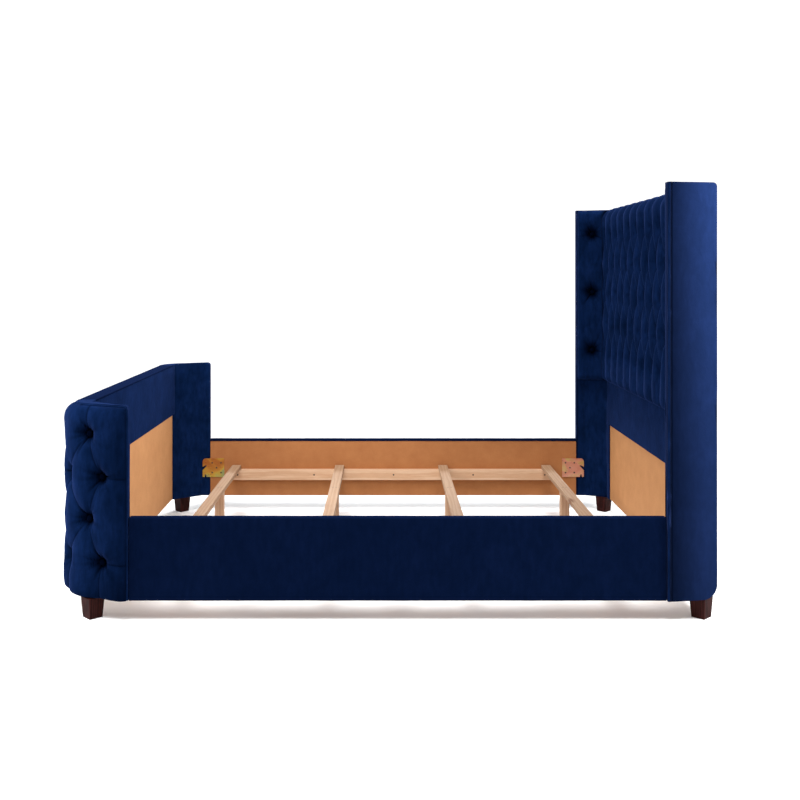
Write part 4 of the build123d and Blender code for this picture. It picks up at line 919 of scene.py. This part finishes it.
TIP_COVER_RISE = 6.0
TIP_CORNER = (TIP[1] - TIP_ROUND, FOOT_TOP + TIP_COVER_RISE - TIP_ROUND, TIP_ROUND)
for word in ("left", "right"):
    plain_cover(f"rail_cover_{word}", f"soft_rail_cover_{word}", 3.0, mat=shaded_rail_velvet)
    plain_cover(f"wing_outer_cover_{word}", f"soft_wing_cover_{word}", 4.0, cut=22.0,
                mat=wing_velvet, swell=7.0)
    plain_cover(f"footboard_wing_cover_{word}", f"soft_tip_cover_{word}", 1.0, cut=10.0,
                rounding=TIP_CORNER)
plain_cover("headboard_lower_cover", "soft_headboard_lower_cover", 1.8)
plain_cover("footboard_inner_cover", "soft_footboard_inner_cover", 2.5)
plain_cover("footboard_top_band", "soft_footboard_top_band", 2.0, mat=shaded_rail_velvet)
for word in ("left", "right"):
    plain_cover(f"wing_inner_cover_{word}", f"soft_wing_inner_cover_{word}", 2.0)
finished(softened("headboard_back_cover", "soft_back_cover", 0.8, mat=back_cloth), "back_cloth",
         "headboard_back_cover", fill=0.1)


CORD_SEGMENTS = 4
CORD_RISE = 1.5
CORD_TOP = FOOT_TOP + CORD_RISE
WING_CORD_DROP = 1.0
FOOT_CORD_GAP = 2.0


def tube(name, runs):
    """Piping: round cords through lists of points."""
    curve = bpy.data.curves.new(name, "CURVE")
    curve.dimensions = "3D"
    for run in runs:
        spline = curve.splines.new("POLY")
        spline.points.add(len(run) - 1)
        for point, place in zip(spline.points, run):
            point.co = (*(c * MM for c in place), 1)
    curve.bevel_depth = CORD * MM
    curve.bevel_resolution = CORD_SEGMENTS
    curve.use_fill_caps = True
    holder = placed(name, curve)
    bpy.context.view_layer.update()
    evaluated = holder.evaluated_get(bpy.context.evaluated_depsgraph_get())
    mesh = bpy.data.meshes.new_from_object(evaluated)
    bpy.data.objects.remove(holder)
    mesh.name = name
    mesh.materials.clear()
    mesh.materials.append(piping_velvet)
    smoothed(mesh)
    return placed(name, mesh)


wing_levels = np.linspace(FOOT, HEAD_TOP - WING_CORD_DROP, 60)
finished(tube("wing_cords", [
    [(side * (HALF_WIDTH - CORD), WING_FRONT_Y + CORD, z) for z in wing_levels] for side in (1, -1)
]), "piping_velvet", "wing_piping")
tip_levels = np.linspace(FOOT + FOOT_CORD_GAP, CORD_TOP - TIP_ROUND, 40)
tip_turn = [(TIP_ROUND - (TIP_ROUND - CORD) * math.sin(t), CORD_TOP - TIP_ROUND * (1 - math.cos(t)))
            for t in np.linspace(math.pi / 2, 0, 12)]
half_run = [(CORD, z) for z in tip_levels[:-1]] + tip_turn
half_run += [(station, CORD_TOP) for station in np.linspace(TIP_ROUND, PATH / 2, 210)[1:]]
whole_run = half_run + [(PATH - station, z) for station, z in half_run[-2::-1]]
finished(tube("footboard_cords", [[(*path_point(station, CORD), z) for station, z in whole_run]]),
         "piping_velvet", "footboard_piping")

# The floor is grey for the light that it throws back, and whiter than that for the camera
FLOOR_HALF = 30
FLOOR_GREY = (0.7, 0.7, 0.7, 1)
FLOOR_SEEN = (1.05, 1.06, 1.07, 1)
floor_mesh = bpy.data.meshes.new("floor")
floor_mesh.from_pydata([
    (-FLOOR_HALF, -FLOOR_HALF, 0), (FLOOR_HALF, -FLOOR_HALF, 0),
    (FLOOR_HALF, FLOOR_HALF, 0), (-FLOOR_HALF, FLOOR_HALF, 0)], [], [(0, 1, 2, 3)])
floor = placed("floor", floor_mesh)
pale = bpy.data.materials.new("pale_floor")
pale.use_nodes = True
tree = pale.node_tree
tree.nodes.clear()
seen_floor = tree.nodes.new("ShaderNodeLightPath")
matt = tree.nodes.new("ShaderNodeBsdfDiffuse")
brightness = tree.nodes.new("ShaderNodeMixRGB")
brightness.inputs["Color1"].default_value = FLOOR_GREY
brightness.inputs["Color2"].default_value = FLOOR_SEEN
surface = tree.nodes.new("ShaderNodeOutputMaterial")
tree.links.new(seen_floor.outputs["Is Camera Ray"], brightness.inputs["Fac"])
tree.links.new(brightness.outputs["Color"], matt.inputs["Color"])
tree.links.new(matt.outputs["BSDF"], surface.inputs["Surface"])
floor_mesh.materials.append(pale)

# The white surroundings give a weak light, and the camera sees them brighter by BACKDROP_GAIN
SURROUND_LIGHT = 0.35
BACKDROP_GAIN = 0.8
world = bpy.data.worlds.new("studio")
bpy.context.scene.world = world
world.use_nodes = True
background = world.node_tree.nodes["Background"]
background.inputs["Color"].default_value = (1, 1, 1, 1)
rays = world.node_tree.nodes.new("ShaderNodeLightPath")
seen = world.node_tree.nodes.new("ShaderNodeMath")
seen.operation = "MULTIPLY_ADD"
world.node_tree.links.new(rays.outputs["Is Camera Ray"], seen.inputs[0])
seen.inputs[1].default_value = BACKDROP_GAIN
seen.inputs[2].default_value = SURROUND_LIGHT
world.node_tree.links.new(seen.outputs[0], background.inputs["Strength"])

SUN_DIRECTION = (0.4, -0.12, 1.0)
SUN_POWER = 2.75
SUN_WIDTH = math.radians(24)
sky = bpy.data.lights.new("ceiling", "SUN")
sky.energy = SUN_POWER
sky.angle = SUN_WIDTH
ceiling = placed("ceiling", sky)
ceiling.rotation_euler = Vector(SUN_DIRECTION).to_track_quat("Z", "Y").to_euler()


def softbox(name, place, target, size, power):
    """A rectangular lamp that faces its target; places and sizes are in metres."""
    light = bpy.data.lights.new(name, "AREA")
    light.shape = "RECTANGLE"
    light.size, light.size_y = size
    light.energy = power
    made = placed(name, light)
    made.location = place
    made.rotation_euler = (Vector(target) - Vector(place)).to_track_quat("-Z", "Y").to_euler()
    return made


softbox("head_side", (1.25, 2.4, 2.05), target=(0.8, 1.05, 1.3), size=(0.8, 0.8), power=78)
softbox("foot_side", (1.15, -3.0, 2.0), target=(0.7, -1.0, 0.4), size=(1.2, 1.2), power=78)
fills = (
    softbox("back_floor", (-2.3, 0.1, 1.5), target=(-0.95, 0.0, 0.0), size=(2.6, 0.5), power=34),
    softbox("inner_fill", (0.1, -0.2, 0.85), target=(-0.78, -0.8, 0.25), size=(0.5, 0.5), power=5),
)
for fill in fills:
    fill.visible_camera = False

# The camera stands beside the bed, level, where the photograph's perspective puts it
CAMERA_PLACE = (4.202, -0.005, 1.173)
FOCAL_PIXELS = 1013
PICTURE_PIXELS = 800
SENSOR_WIDTH = 36.0
PICTURE_SHIFT = (0.02, -0.161)
VIEW_END = 100
camera_data = bpy.data.cameras.new("camera")
camera = placed("camera", camera_data)
camera.location = CAMERA_PLACE
camera.rotation_euler = (math.pi / 2, 0, math.pi / 2)
camera_data.sensor_width = SENSOR_WIDTH
camera_data.lens = FOCAL_PIXELS / PICTURE_PIXELS * SENSOR_WIDTH
camera_data.shift_x, camera_data.shift_y = PICTURE_SHIFT
camera_data.clip_end = VIEW_END
bpy.context.scene.camera = camera
bpy.context.scene.view_settings.view_transform = "Standard"
